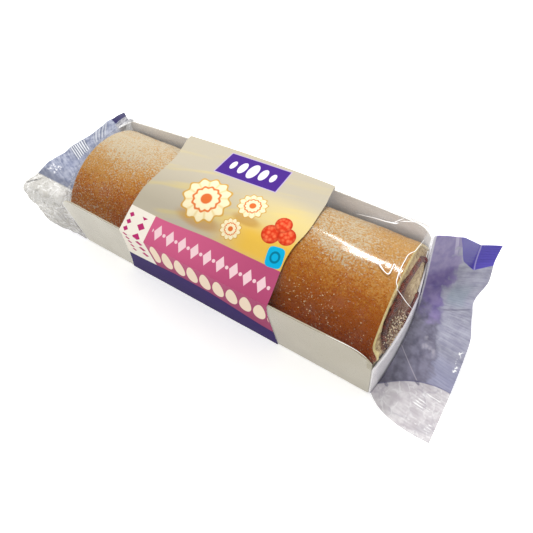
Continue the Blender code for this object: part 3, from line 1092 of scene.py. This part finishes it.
def right_fin_material():
    """Fields over share across (u) and reach (r): milky clear film in front, print behind, glints."""
    material, start, place = new_material("right_fin_print")
    u, r, _ = start.node("UVMap", {"uv_map": "flat"}).axes()
    cloud = place.grain(95.0, 3.0, 0.6)
    crumple = place.grain(230.0, 2.0, 0.5)
    fibre = (u * 60.0).beside(r * 3.0).grain(1.0, 3.0, 0.6)
    mixed = cloud * 0.5 + crumple * 0.5
    border = 0.066 + r * 0.42 - r * r * 0.21
    printed = (u - border).rises(-0.002, 0.002)
    # The grey net is painted shade in the creases, the white one painted highlights on them.
    nets = ((75.0, 0.05, 0.5, "A59EAA"), (170.0, 0.07, 0.42, "FFFFFF"))
    milky = milky_film(place, mixed, ("C0B8BE", "E6E2E4"), *nets)
    ground = printed.paint(milky, printed_right(u, r, cloud, crumple, fibre))
    line = (u - border).math("ABSOLUTE").rises(0.005, 0.001)
    ground = (line * 0.55).paint(ground, screen("47437C"))
    for middle in ((0.110, 0.15), (0.228, 0.54)):
        spot = (((u - middle[0]) * 5.0).math("POWER", 2.0) + (r - middle[1]).math("POWER", 2.0)).math("SQRT")
        ground = ((spot + (crumple - 0.5) * 0.12).rises(0.06, 0.03) * 0.8).paint(ground, screen("453F66"))
    seal = u.within(0.125, 0.222, 0.004) * (r - 0.5 - u).within(0.0, 0.22, 0.03)
    patchy = u.within(0.04, 0.16, 0.01) * r.within(0.62, 0.96, 0.02) * cloud.rises(0.52, 0.56)
    bars = (u / 0.0145).off_middle().math("ABSOLUTE").rises(0.30, 0.16) * seal.math("MAXIMUM", patchy)
    tiny = place.grain(700.0, 1.0).rises(0.52, 0.58)
    edge_glints = r.within(0.90, 0.960, 0.01) * u.within(0.38, 0.51, 0.01) * tiny
    glints = (bars * fibre.rises(0.40, 0.50)).math("MAXIMUM", edge_glints * crumple.rises(0.44, 0.54))
    ground = (glints * 0.9).paint(ground, screen("FFFFFF"))
    solid = 0.60 + printed * 0.38 + glints * 0.2
    haze(start, ground, solid, 0.30, mixed.bump(0.0004, 0.7))
    return material


def left_fin_material():
    """Fields over share across (u) and reach (r): a milky web, a lavender panel, a navy corner."""
    material, start, place = new_material("left_fin_print")
    u, r, _ = start.node("UVMap", {"uv_map": "flat"}).axes()
    cloud = place.grain(95.0, 3.0, 0.6)
    crumple = place.grain(230.0, 2.0, 0.5)
    slant = u + (1 - r) * RIB_SLANT[-1]
    fibre = (slant * 70.0).beside(r * 3.0).grain(1.0, 3.0, 0.6)
    panel = (fibre * 0.5 + crumple * 0.5).rises(0.38, 0.62).paint(screen("7A8098"), screen("B2B6C6"))
    panel = (cloud.rises(0.5, 0.7) * 0.5).paint(panel, screen("8C92AC"))
    rib_glints = ((slant - 0.667) / 0.0165).off_middle().math("ABSOLUTE").rises(0.36, 0.14)
    group = slant.within(0.667, 0.782, 0.002) * r.within(0.52, 0.98, 0.02)
    group = group.math("MAXIMUM", slant.within(0.825, 0.895, 0.002) * r.within(0.55, 0.97, 0.03) * 0.5)
    panel = (group * 0.7).paint(panel, screen("5E6478"))
    # White lines on the crimped ribs: painted highlights.
    panel = (group * rib_glints * fibre.rises(0.30, 0.50) * 0.85).paint(panel, screen("F0F2F6"))
    tiny = place.grain(600.0, 1.0).rises(0.52, 0.58)
    sparkle = u.within(0.44, 0.50, 0.01) * r.within(0.62, 0.90, 0.03) * tiny
    panel = (sparkle * 0.9).paint(panel, screen("F4F4F8"))
    gusset = (u - 0.905).rises(-0.003, 0.003) * r.rises(0.58, 0.56)
    panel = gusset.paint(panel, crumple.rises(0.4, 0.6).paint(screen("7E7E88"), screen("B4B3B8")))
    navy = (u - 0.913).rises(-0.003, 0.003) * (r + (u - 0.94).math("MAXIMUM", 0.0) * 2.2).rises(0.60, 0.62)
    panel = navy.paint(panel, screen("150A52"))
    printed = (u - 0.405).rises(-0.003, 0.003)
    # Darker where the panel turns down: painted shade.
    turned_down_shade = u.rises(0.455, 0.43) * r.rises(0.08, 0.2)
    panel = (turned_down_shade * 0.55).paint(panel, screen("6C7080"))
    # The grey net is painted shade in the creases, the white one painted highlights on them.
    nets = ((90.0, 0.06, 0.5, "8E8A82"), (150.0, 0.08, 0.7, "FBFAF8"))
    milky = milky_film(place, cloud * 0.4 + crumple * 0.6, ("A29D92", "D2CFC9"), *nets)
    ground = printed.paint(milky, panel)
    # A dark brown patch near the root, in the gap under the fin: painted shadow.
    gap_shadow = r.rises(0.30, 0.10) * u.within(0.330, 0.400, 0.02) * crumple.rises(0.40, 0.52)
    ground = (gap_shadow * 0.8).paint(ground, screen("4A3624"))
    # A dark opening in the film: painted shadow.
    slit_shadow = (u - 0.345 - (0.97 - r) * 0.3).math("ABSOLUTE").rises(0.010, 0.004) * r.within(0.84, 0.975, 0.01)
    ground = (slit_shadow * 0.8).paint(ground, screen("3A3A40"))
    solid = 0.50 + printed * 0.47 + crumple.rises(0.5, 0.7) * (1 - printed) * 0.35
    haze(start, ground, solid, 0.45, (cloud * 0.5 + crumple * 0.5).bump(0.0005, 0.7), 0.02, 0.04)
    return material


def underside_material():
    """Lavender print with a paler seam along the middle."""
    material, start, place = new_material("underside_print")
    x, y, _ = place.axes()
    cloud = place.grain(60.0, 3.0)
    ground = cloud.rises(0.35, 0.65).paint(screen("8279AC"), screen("9A93BE"))
    seam = y.within(-0.006, 0.006, 0.0004)
    ground = (seam * 0.5).paint(ground, screen("BDB8D2"))
    ribs = ((x * 4200.0).math("SINE") * 0.5 + 0.5) * seam
    start.node("BsdfPrincipled", None, {
        "Base Color": ground, "Roughness": 0.32, "Coat Weight": 0.5, "Coat Roughness": 0.15,
        "Normal": (ribs * 0.6 + cloud * 0.4).bump(0.0002, 0.6)}).show()
    return material


# %% Fins as closed thin sheets
FIN_ROWS = 44
FIN_COLUMNS = 420
LOWEST = 0.0002


def fin(side):
    """Upper and lower face of a fin, thinner towards the crimped edge, and never below the table."""
    reach = np.linspace(0, 1, FIN_ROWS)
    across = np.linspace(0, 1, FIN_COLUMNS)
    if side < 0:
        reach = reach[::-1]
    sheet, normal = fin_sheet(side, reach, across)
    half = (FIN_THICKNESS + (CRIMP_THICKNESS - FIN_THICKNESS) * np.minimum(1, reach * 1.6)) / 2
    offset = normal * half[:, None, None]
    points = np.stack([sheet + offset, sheet - offset])
    points[..., 2] = np.maximum(points[..., 2], LOWEST)
    flat = np.stack(np.broadcast_arrays(across[None, :], reach[:, None]), axis=-1)
    return points, np.stack([flat, flat])


for side, name, material in (
    (-1, "fin_left", left_fin_material()),
    (1, "fin_right", right_fin_material()),
):
    points, flat = fin(side)
    piece(name, points, shell_quads(FIN_ROWS, FIN_COLUMNS), [material], flat=flat, sharp=60.0)

# %% Film under the tray
BASE_ROWS = 30


def underside():
    """From the left fin's root down the flap, along the table and up to the right fin's root."""
    across = np.linspace(0, 1, 61)
    rows = []
    for side in (-1, 1):
        end_width = half_width(side * HALF_LENGTH)
        y = (end_width - 0.0012) * (2 * across - 1)
        foot = np.column_stack([flap_face(side, y), y, np.zeros_like(y)])
        root = fin_root(side, across, FLAP_HEIGHT - 0.001)
        share = np.linspace(0, 1, 6)[:, None, None]
        lower = foot + share * (root - foot)
        lower[..., 0] = flap_face(side, lower[..., 1])
        rows.append(lower)
    left, right = rows[0][::-1], rows[1]
    share = np.linspace(0, 1, BASE_ROWS)[1:-1, None, None]
    flat = left[-1] * (1 - share) + right[0] * share
    return np.concatenate([left, flat, right])[:, ::-1]


points = underside()
piece("underside_film", points, grid_quads(*points.shape[:2]), [underside_material()])

# %% [markdown]
# ## The card tray
#
# The tray is one folded card: a channel of floor and two long walls, and a lower flap across each
# end. The roll presses the walls outwards, so they bow a little. Card is about half a millimetre
# thick, and its cut edge is what the eye reads as card, so the walls get both faces and an edge.

# %% Card material


def card_material():
    """Uncoated grey card: faint mottling and fibres a few millimetres long, darker and yellower
    towards the right as painted shade, and paler on the end flaps as painted light.
    """
    material, start, place = new_material("grey_card")
    fibre = place.scaled((1, 4, 4)).grain(420.0, 4.0, 0.6)
    mottle = place.grain(60.0, 3.0)
    ground = mottle.rises(0.3, 0.7).paint(screen("AFA792"), screen("BCB5A2"))
    ground = (fibre.rises(0.45, 0.75) * 0.35).paint(ground, screen("D0CABB"))
    x = place.axes()[0]
    # Darker and yellower towards the right: painted shade.
    ground = (x.rises(-0.03, 0.06) * 0.5).paint(ground, screen("A4997E"))
    # The end flaps painted pale: painted light for the film's sheen over them, lifting their shade.
    flap_painted_light = x.math("ABSOLUTE").rises(HALF_LENGTH - 0.0012, HALF_LENGTH - 0.0004)
    ground = (flap_painted_light * 0.9).paint(ground, screen("ECE9EE"))
    start.node("BsdfPrincipled", None, {
        "Base Color": ground, "Roughness": 0.78, "Normal": fibre.bump(0.00006, 0.5)}).show()
    return material


def lining_material():
    """The card's inner face, coated white, with a faint trace of fibres."""
    material, start, place = new_material("white_lining")
    fibre = place.scaled((1, 4, 4)).grain(300.0, 3.0, 0.6)
    ground = fibre.rises(0.35, 0.75).paint(screen("E2DFDC"), screen("ECEAE8"))
    start.node("BsdfPrincipled", None, {
        "Base Color": ground, "Roughness": 0.6, "Normal": fibre.bump(0.00004, 0.4)}).show()
    return material


grey_card = card_material()
white_lining = lining_material()

# %% Channel of floor and long walls
CARD = 0.0006
CARD_GAP = 0.0004
WALL_POINTS = 8
FLOOR_POINTS = 12
CHANNEL_ROWS = 96


def channel(inset):
    """Back wall top, down, across the floor and up the front wall, at an inset from the film."""
    x = np.linspace(-HALF_LENGTH + 0.0012, HALF_LENGTH - 0.0012, CHANNEL_ROWS)[:, None]
    foot = half_width(x) - inset
    climb = np.linspace(0, 1, WALL_POINTS)[None, :]
    front_height = inset + (wall_top(x) - CARD_GAP - inset) * climb
    back_height = inset + (back_wall_top(x) - CARD_GAP - inset) * climb
    front = -(foot + FRONT_WALL_BOW * bow(x) * climb)
    back = foot + (BACK_WALL_BOW - 0.0012) * bow(x) * climb
    across = np.linspace(1, -1, FLOOR_POINTS)[None, 1:-1]
    y = np.concatenate([back[:, ::-1], foot * across, front], axis=1)
    floor = np.full((CHANNEL_ROWS, FLOOR_POINTS - 2), inset)
    z = np.concatenate([back_height[:, ::-1], floor, front_height], axis=1)
    return np.stack([np.broadcast_to(x, y.shape), y, z], axis=-1)


def card_sheet(name, outer, inner):
    """A card piece from its outer and inner grid: grey outside and at the cut edge, lined inside."""
    quads = shell_quads(*outer.shape[:2])
    half = (outer.shape[0] - 1) * (outer.shape[1] - 1)
    lined = (np.arange(len(quads)) >= half) & (np.arange(len(quads)) < 2 * half)
    points = np.stack([outer, inner])
    piece(name, points, quads, [grey_card, white_lining], face_material=lined.astype(int))


outer, inner = channel(CARD_GAP), channel(CARD_GAP + CARD)
inner[..., 2] = np.where(outer[..., 2] > 0.02, outer[..., 2], inner[..., 2])
card_sheet("tray_channel", outer, inner)

# %% End flaps
FLAP_LEAN = 0.0010


def flap(side, inset):
    """A bowed sheet across the tray's end, whose top leans in a little between its corners."""
    y = np.linspace(-1, 1, 40) * (half_width(side * HALF_LENGTH) - CARD_GAP)
    if side < 0:
        y = y[::-1]
    z = np.linspace(CARD_GAP + CARD + 0.0001, FLAP_HEIGHT - CARD_GAP, 10)
    y, z = np.meshgrid(y, z, indexing="ij")
    lean = FLAP_LEAN * z / FLAP_HEIGHT * np.clip(1 - (y / half_width(side * HALF_LENGTH)) ** 2, 0, 1)
    return np.stack([flap_face(side, y) - side * (inset + lean), y, z], axis=-1)


for side, name in ((-1, "tray_flap_left"), (1, "tray_flap_right")):
    card_sheet(name, flap(side, CARD_GAP), flap(side, CARD_GAP + CARD))

# %% [markdown]
# ## The sponge roll
#
# The roll is one closed surface: up the left cut face, along the crust and down the right cut
# face, swept round an oval. Its crust is uneven on three scales: slow dents from handling, the
# wrinkles that rolling leaves, and the pores of the crumb. All relief goes inwards, so the sponge
# never breaks through the film.

# %% Crust and cut face materials
SPONGE_HALF_WIDTH = ROLL_HALF_WIDTH - 0.0003
SPONGE_HALF_HEIGHT = ROLL_HALF_HEIGHT - 0.0004


def crust_material():
    """Baked crust: golden on the crown and orange brown at the front, with fine sugar dust on it.

    The turn round the roll runs from 0 at the back over a half on the crown to 1 at the front.
    The colour darkens with it towards the front: partly the crust's own colour, partly painted
    shade.
    Dust lies thickest on the left part's crown, and the right part has a dusty patch on its crown.
    """
    material, start, place = new_material("baked_crust")
    x, y, z = place.axes()
    a = y / ROLL_HALF_WIDTH
    b = (z - ROLL_CENTRE_HEIGHT) / ROLL_HALF_HEIGHT
    turn = (a / (a * a + b * b).math("SQRT")).math("ARCCOSINE") / math.pi
    patch = place.grain(45.0, 3.0, 0.6) - 0.5
    mottle = place.grain(330.0, 3.0, 0.65) - 0.5
    speckle = place.grain(1100.0, 2.0, 0.6) - 0.5
    paler = x.rises(-0.045, -0.075) * (0.08 + turn.rises(0.70, 0.92) * 0.18)
    # Darker with the turn towards the front: partly the crust's own colour, partly painted shade.
    baked_and_shaded = turn - paler + patch * 0.22 + mottle * 0.30 + speckle * 0.44
    ground = start.node("ValToRGB", {"stops": (
        (0.30, screen("B48848")), (0.50, screen("B48240")), (0.55, screen("B47A34")),
        (0.60, screen("AC6A1C")), (0.65, screen("A25A0C")), (0.71, screen("9C4E02")),
        (0.82, screen("9C4A00")), (0.92, screen("803400")))}, {0: baked_and_shaded})
    pores = place.pores(700.0)
    ground = (pores.rises(0.55, 0.85) * 0.25).paint(ground, screen("7A3A06"))
    brown_specks = speckle.rises(0.02, 0.14) * turn.rises(0.62, 0.46) * x.rises(0.0, 0.05)
    ground = (brown_specks * 0.45).paint(ground, screen("86602E"))
    left = x.rises(0.0, -0.03) * (0.05 + turn.rises(0.67, 0.40) * 0.40 + turn.rises(0.78, 0.90) * 0.14)
    right = (x - turn.rises(0.44, 0.54) * 0.012).rises(0.044, 0.056) * (turn + patch * 0.2).rises(0.64, 0.52)
    right = right * (0.32 - x.rises(0.072, 0.094) * 0.26)
    powder = (place.grain(1000.0, 2.0, 0.6) - 0.5) * 1.9 + 0.5
    bare = x.rises(0.0, 0.03) * turn.rises(0.50, 0.60) * 0.11
    covered = (powder + left + right - bare + patch * 0.5 + mottle * 0.5).rises(0.58, 1.06)
    ground = (covered * 0.94).paint(ground, screen("BAAE94"))
    relief = mottle * 0.6 + pores * 0.4
    start.node("BsdfPrincipled", None, {
        "Base Color": ground, "Roughness": 0.70, "Specular IOR Level": 0.12,
        "Normal": relief.bump(0.0005, 0.8)}).show()
    return material


def face_material():
    """Cut sponge: pale crumb full of pores, a cream line under the crust and a brown outer skin."""
    material, start, place = new_material("cut_sponge")
    _, y, z = place.axes()
    b = (z - ROLL_CENTRE_HEIGHT) / SPONGE_HALF_HEIGHT
    a = y / SPONGE_HALF_WIDTH
    out = (a * a + b * b).math("SQRT")
    pores = place.pores(850.0)
    crumb = place.grain(260.0, 4.0, 0.7)
    ground = crumb.rises(0.3, 0.7).paint(screen("907550"), screen("CAB48C"))
    ground = (pores.rises(0.5, 0.9) * 0.5).paint(ground, screen("7A5A34"))
    stained = (crumb * 0.25 + out).rises(1.04, 0.92) * y.rises(0.006, -0.008)
    ground = (stained * 0.9).paint(ground, screen("5C2608"))
    cream = (out + (crumb - 0.5) * 0.10).rises(0.915, 0.950) * (0.55 + y.rises(0.0, -0.020) * 0.4)
    ground = cream.paint(ground, screen("D8C68E"))
    ground = out.rises(0.985, 0.998).paint(ground, screen("A0662C"))
    start.node("BsdfPrincipled", None, {
        "Base Color": ground, "Roughness": 0.85, "Specular IOR Level": 0.15,
        "Normal": (pores * 0.5 + crumb * 0.5).bump(0.0009, 0.9)}).show()
    return material


baked_crust = crust_material()
cut_sponge = face_material()

# %% The roll's ends
# The soft core is pushed out until it meets the end flap, so a cut end is a blunt cone, and the
# layer that lies in the tray is pushed out as a lip.
BULGE = {-1: 0.0105, 1: 0.0115}
BULGE_POWER = 1.3
LIP_TOP = 0.046
LIP_SIZE = 0.006
FLAP_CLEAR = 0.0022
FILM_CLEAR = 0.0012
SOFT = 0.0005


def end_share(y, z):
    """Distance from the roll's axis as a share of the oval, 1 at the crust."""
    return np.hypot(y / SPONGE_HALF_WIDTH, (z - ROLL_CENTRE_HEIGHT) / SPONGE_HALF_HEIGHT)


def end_face(side, y, z):
    """X of a cut end: the rim's plane with a blunt cone and a low lip on it.

    It stops short of the end flap, and above the flap's top it stops short of the film. Both
    limits are soft: the smaller of two lengths, blended over half a millimetre.
    """
    share = np.minimum(1, end_share(y, z))
    lip = np.minimum(LIP_SIZE, 2 * SOFT * np.logaddexp(0, (LIP_TOP - z) / (2 * SOFT)))
    out = side * RIM[side] - 0.0004 + BULGE[side] * (1 - share ** BULGE_POWER) + lip * share ** 3
    over_flap = np.clip((z - FLAP_HEIGHT) / 0.002, 0, 1)
    limit = side * flap_face(side, y) - FLAP_CLEAR + (FLAP_CLEAR - FILM_CLEAR) * over_flap
    return side * -SOFT * np.logaddexp(-out / SOFT, -limit / SOFT)


# %% The roll's surface
RIM_RADIUS = 0.0014
CRUST_ROWS = 236
ROLL_COLUMNS = 288
FACE_SHARES = np.linspace(0.02, 1, 50)
RIM_TURNS = np.linspace(0, math.pi / 2, 7)[1:-1]
END_ROWS = len(FACE_SHARES) + len(RIM_TURNS)
CRUST_RELIEF = ((0.00030, 0.016, 1), (0.00014, 0.0034, 2), (0.00010, 0.0013, 4))
CUT_RELIEF = ((0.00030, 0.0040, 6), (0.00022, 0.0015, 7))


def roll_rows():
    """For each row: share between the rims, push from the rim, inset from the crust, radial share."""
    face, rim, crust = len(FACE_SHARES), len(RIM_TURNS), CRUST_ROWS
    along = np.concatenate([np.zeros(face + rim), np.linspace(0, 1, crust), np.ones(face + rim)])
    back = RIM_RADIUS * (1 - np.cos(RIM_TURNS))
    push = np.concatenate([np.zeros(face), back, np.full(crust, RIM_RADIUS), back[::-1], np.zeros(face)])
    inset = RIM_RADIUS * (1 - np.sin(RIM_TURNS))
    full = np.full(face, RIM_RADIUS)
    inset = np.concatenate([full, inset, np.zeros(crust), inset[::-1], full])
    radial = np.concatenate([FACE_SHARES, np.ones(2 * rim + crust), FACE_SHARES[::-1]])
    return [row[:, None] for row in (along, push, inset, radial)]


def roll_points():
    """The oval swept along the rows, dented inwards by relief on three scales."""
    along, push, inset, radial = roll_rows()
    turn = -np.linspace(0, 2 * math.pi, ROLL_COLUMNS, endpoint=False)[None, :]
    y = (SPONGE_HALF_WIDTH - inset) * radial * np.cos(turn)
    z = ROLL_CENTRE_HEIGHT + (SPONGE_HALF_HEIGHT - inset) * radial * np.sin(turn)
    left, right = end_face(-1, y, z), end_face(1, y, z)
    x = (left + push) * (1 - along) + (right - push) * along
    room = half_width(x) - CARD_GAP - CARD - 0.0002
    soft = 0.0004
    y = -soft * np.logaddexp(-np.abs(y) / soft, -room / soft) * np.sign(y)
    points = np.stack([x, y, z], axis=-1)
    dent = layered(points, CRUST_RELIEF)
    points[..., 1] -= dent * radial ** 4 * np.cos(turn)
    points[..., 2] -= dent * radial ** 4 * np.sin(turn)
    crumb = layered(points, CUT_RELIEF)
    points[..., 0] += crumb * np.where(radial < 1, 1, 0) * np.where(along < 0.5, 1, -1)
    cut = (radial[:, 0] < 1) | (push[:, 0] < 0.3 * RIM_RADIUS)
    return points, cut


roll_grid, cut = roll_points()
cut_quads = np.repeat((cut[:-1] & cut[1:]).astype(int), ROLL_COLUMNS)
slots = np.concatenate([cut_quads, np.ones(2 * ROLL_COLUMNS, int)])
roll_mesh, roll_faces = closed_tube(roll_grid)
piece("sponge_roll", roll_mesh, roll_faces, [baked_crust, cut_sponge], face_material=slots)

# %% [markdown]
# ## Jam
#
# The jam was spread on the flat sponge before it was rolled, so in the cut end it is a spiral
# band. A flattened tube is carried along that spiral and follows the end's blunt cone. It stands
# a little proud of the sponge, and its width varies, because the knife drags jam over the crumb.

# %% Jam material and spiral
JAM_HALF_DEPTH = 0.0009
JAM_START = {-1: math.radians(15), 1: math.radians(166)}
# Degrees wound up from the outer end, distance from the axis as a share, half width in millimetres.
JAM_PATH = np.array([
    [0, 0.75, 0.8], [15, 0.80, 1.5], [35, 0.86, 1.7], [46, 0.83, 2.4], [58, 0.79, 2.6], [72, 0.82, 1.9],
    [86, 0.78, 1.5], [110, 0.75, 1.4], [142, 0.77, 1.5], [220, 0.72, 1.6], [300, 0.55, 1.6],
    [375, 0.40, 1.7], [422, 0.33, 2.1], [456, 0.30, 2.1], [545, 0.16, 1.2],
])


def jam_material():
    """Dark jam, redder where it is thin, with a few seeds as bumps."""
    material, start, place = new_material("raspberry_jam")
    cloud = place.grain(420.0, 3.0, 0.6)
    ground = cloud.rises(0.35, 0.7).paint(screen("361000"), screen("702602"))
    seeds = place.pores(560.0)
    start.node("BsdfPrincipled", None, {
        "Base Color": ground, "Roughness": 0.5, "Specular IOR Level": 0.12,
        "Normal": (cloud * 0.6 + seeds * 0.4).bump(0.0005, 0.8)}).show()
    return material


def jam_spiral(side, steps=260, sides=14):
    """Rings of a flat tube along a smooth spiral through the path's places, tapered to both its ends."""
    wound = np.linspace(0, JAM_PATH[-1, 0], steps)
    radius, half = smooth_path(wound, JAM_PATH[:, 0], JAM_PATH[:, 1:]).T[:, :, None]
    turn = JAM_START[side] - side * np.radians(wound)[:, None]
    phi = np.linspace(0, 2 * math.pi, sides, endpoint=False)[None, :]
    taper = np.minimum(1, np.sin(math.pi * wound / wound[-1]) * 8)[:, None] ** 0.5
    spot = np.stack(np.broadcast_arrays(np.radians(wound)[:, None] * radius * 40, phi * 0.6, side), axis=-1)
    wobble = 1 + 0.22 * noise(spot, 2.4, 11)
    aside = half / 1000 * taper * wobble * np.sign(np.cos(phi)) * np.abs(np.cos(phi)) ** 0.7
    y = np.cos(turn) * (SPONGE_HALF_WIDTH * radius + aside)
    z = ROLL_CENTRE_HEIGHT + np.sin(turn) * (SPONGE_HALF_HEIGHT * radius + aside)
    depth = JAM_HALF_DEPTH * (0.2 + 0.8 * taper) * np.sin(phi)
    x = end_face(side, y, z) + side * (depth - 0.0003)
    return np.stack([x, y, z], axis=-1)


raspberry_jam = jam_material()
for side, name in ((-1, "jam_left"), (1, "jam_right")):
    tube_points, tube_faces = closed_tube(jam_spiral(side))
    piece(name, tube_points, tube_faces, [raspberry_jam], sharp=60.0)

# %% [markdown]
# ## Sugar and crumbs
#
# The crust is dusted with sugar. The finest dust is in the crust's colour; the grains that can be
# told apart are real specks of mesh, small octahedra sunk half into the crust. They are denser on
# the crown, where the sugar fell. One joined mesh holds them all.

# %% Scattered grains
DRAW = np.random.default_rng(7)
OCTAHEDRON = np.array([[1, 0, 0], [0, 1, 0], [-1, 0, 0], [0, -1, 0], [0, 0, 1], [0, 0, -1]], float)
OCTAHEDRON_FACES = np.array([
    [0, 1, 4], [1, 2, 4], [2, 3, 4], [3, 0, 4], [1, 0, 5], [2, 1, 5], [3, 2, 5], [0, 3, 5]])


def specks(middles, radii):
    """Octahedra of the given radii at the given middles, each stretched a little at random."""
    stretch = DRAW.uniform(0.7, 1.3, (len(middles), 1, 3))
    points = middles[:, None, :] + OCTAHEDRON[None] * radii[:, None, None] * stretch
    faces = OCTAHEDRON_FACES[None] + (np.arange(len(middles)) * 6)[:, None, None]
    return points.reshape(-1, 3), faces.reshape(-1, 3)


def sugar_material():
    """White sugar that lets a little of the crust's colour through."""
    material, start, place = new_material("sugar")
    tone = place.grain(700.0, 1.0).rises(0.35, 0.65).paint(screen("BC8448"), screen("EED8B0"))
    start.node("BsdfPrincipled", None, {
        "Base Color": tone, "Roughness": 0.6, "Specular IOR Level": 0.2}).show()
    return material


def sugar_spread(points):
    """Two shares from 0 to 1 for places on the crust: fine sugar, and coarse sugar in a loose patch."""
    x, y, z = points.T
    turn = np.degrees(np.arctan2((z - ROLL_CENTRE_HEIGHT) / SPONGE_HALF_HEIGHT, y / SPONGE_HALF_WIDTH))
    left = np.interp(turn, [30, 60, 95, 115, 150, 170], [0.2, 0.3, 0.32, 0.22, 0.08, 0.03]) * (x < -0.04)
    right = np.interp(turn, [30, 60, 95, 108, 122, 165], [0.1, 0.2, 0.28, 0.24, 0.06, 0.03])
    right = right * np.interp(x, [0.048, 0.060, 0.086, 0.100], [0.1, 1, 0.9, 0.5])
    coarse = np.exp(-((x - 0.066) / 0.014) ** 2 - ((turn - 137) / 13) ** 2) + 0.07 * (turn > 95) * (x > 0.05)
    return left + right, coarse


sugar = sugar_material()
DRAWN = 60000
crust_rows = roll_grid[END_ROWS:-END_ROWS]
pick_row = DRAW.integers(2, len(crust_rows) - 2, DRAWN)
pick_column = DRAW.integers(0, ROLL_COLUMNS, DRAWN)
spots = crust_rows[pick_row, pick_column] + DRAW.uniform(-0.0004, 0.0004, (DRAWN, 3)) * [1, 1, 0]
fine, coarse = sugar_spread(spots)
chance = DRAW.random(DRAWN)
is_fine = chance < fine * (0.8 + 0.5 * noise(spots, 0.006, 21))
is_coarse = ~is_fine & (chance > 1 - coarse * 0.26)
sizes = np.where(is_coarse, DRAW.uniform(0.00016, 0.00042, DRAWN), DRAW.uniform(0.00008, 0.00020, DRAWN))
kept = is_fine | is_coarse
grain_mesh, grain_faces = specks(spots[kept], sizes[kept])
piece("sugar_grains", grain_mesh, grain_faces, [sugar], sharp=10.0)

# %% Crumbs and sugar on the cut ends
# They stuck to the jam low at the front of each end, where the knife pulled them.


def crumb_material():
    """Cream and tan crumbs, each in its own tone, because the noise is coarser than a crumb."""
    material, start, place = new_material("sugary_crumbs")
    tone = place.grain(900.0, 1.0).rises(0.40, 0.66).paint(screen("8A5A30"), screen("F6E4C0"))
    start.node("BsdfPrincipled", None, {"Base Color": tone, "Roughness": 0.6}).show()
    return material


crumb_spots = []
for side, count in ((1, 340), (-1, 150)):
    turn = np.radians(DRAW.normal(146.0, 15.0, count))
    radius = DRAW.uniform(0.36, 0.80, count) + DRAW.normal(0.0, 0.03, count)
    y = SPONGE_HALF_WIDTH * radius * np.cos(turn)
    z = ROLL_CENTRE_HEIGHT + SPONGE_HALF_HEIGHT * radius * np.sin(turn)
    x = end_face(side, y, z) + side * DRAW.uniform(-0.0002, 0.0004, count)
    crumb_spots.append(np.stack([x, y, z], axis=-1))
crumb_spots = np.concatenate(crumb_spots)
crumb_mesh, crumb_faces = specks(crumb_spots, DRAW.uniform(0.00022, 0.00060, len(crumb_spots)))
piece("end_crumbs", crumb_mesh, crumb_faces, [crumb_material()], sharp=10.0)

# %% [markdown]
# ## Light and floor
#
# The pack was photographed on a white light table, which swallows its shadow, in a light tent that
# is open at the front. So the table glows a little, and the world is bright all round except low
# in front, where film and sponge would otherwise mirror white over the dark crust. A wide soft
# light from behind brightens the crown. Two small lamps draw the white streak along the film: a
# narrow one its whole length, and a broader one the part where it swells.

# %% World, lights and floor


def soft_light(name, place, target, size, power, shape="RECTANGLE", along=(1, 0, 0)):
    """A light at a place, turned to face the target, with its first side along a direction."""
    lamp = bpy.data.lights.new(name, "AREA")
    lamp.shape = shape
    lamp.size, lamp.size_y = size
    lamp.energy = power
    made = bpy.data.objects.new(name, lamp)
    back = np.array(place, float) - target
    back /= np.linalg.norm(back)
    right = np.array(along, float) - back * (back @ along)
    right /= np.linalg.norm(right)
    turn = np.eye(4)
    turn[:3, :3] = np.column_stack([right, np.cross(back, right), back])
    turn[:3, 3] = place
    bpy.context.scene.collection.objects.link(made)
    made.matrix_world = turn.T


def tent_world():
    """A world lit by direction: bright, and dimmer the lower and the further in front."""
    world = bpy.data.worlds.new("light_tent")
    world.use_nodes = True
    world.node_tree.nodes.clear()
    start = Wire(world.node_tree)
    _, y, z = start.node("TexCoord", output=0).axes()
    opening = y.rises(-0.10, -0.75) * z.rises(0.80, 0.30)
    tone = opening.paint((0.77, 0.77, 0.76, 1.0), (0.24, 0.23, 0.22, 1.0))
    sky = start.node("Background", None, {"Color": tone})
    output = world.node_tree.nodes.new("ShaderNodeOutputWorld")
    world.node_tree.links.new(sky.socket, output.inputs["Surface"])
    return world


bpy.context.scene.world = tent_world()
CROWN = np.array([0.075, 0.004, 0.0653])
soft_light("wide_soft", (-0.35, 0.75, 1.15), CROWN, (0.9, 0.6), 2.0)
STREAK_RUN = (0.133, -0.129, 0.127)  # both lamps' first side, which the film mirrors along the streak
soft_light("streak_light", (-0.100, 0.510, 0.716), CROWN, (0.24, 0.026), 1.5, "ELLIPSE", STREAK_RUN)
soft_light("streak_swell", (-0.040, 0.450, 0.774), CROWN, (0.12, 0.150), 3.3, "ELLIPSE", STREAK_RUN)

floor_mesh = bpy.data.meshes.new("floor")
TABLE = 3.0  # half the side of the light table
corners = [(-TABLE, -TABLE, 0), (TABLE, -TABLE, 0), (TABLE, TABLE, 0), (-TABLE, TABLE, 0)]
floor_mesh.from_pydata(corners, [], [(0, 1, 2, 3)])
floor_material, start, place = new_material("light_table")
tone = place.grain(30.0, 2.0).rises(0.3, 0.7).paint(screen("F8F8F7"), screen("FBFBFA"))
start.node("BsdfPrincipled", None, {
    "Base Color": tone, "Roughness": 0.9, "Emission Color": (1, 1, 1, 1), "Emission Strength": 0.50}).show()
floor_mesh.materials.append(floor_material)
floor = bpy.data.objects.new("floor", floor_mesh)
floor.location.z = -0.0003
bpy.context.scene.collection.objects.link(floor)
bpy.context.scene.view_settings.view_transform = "Standard"
print("lights and floor set")
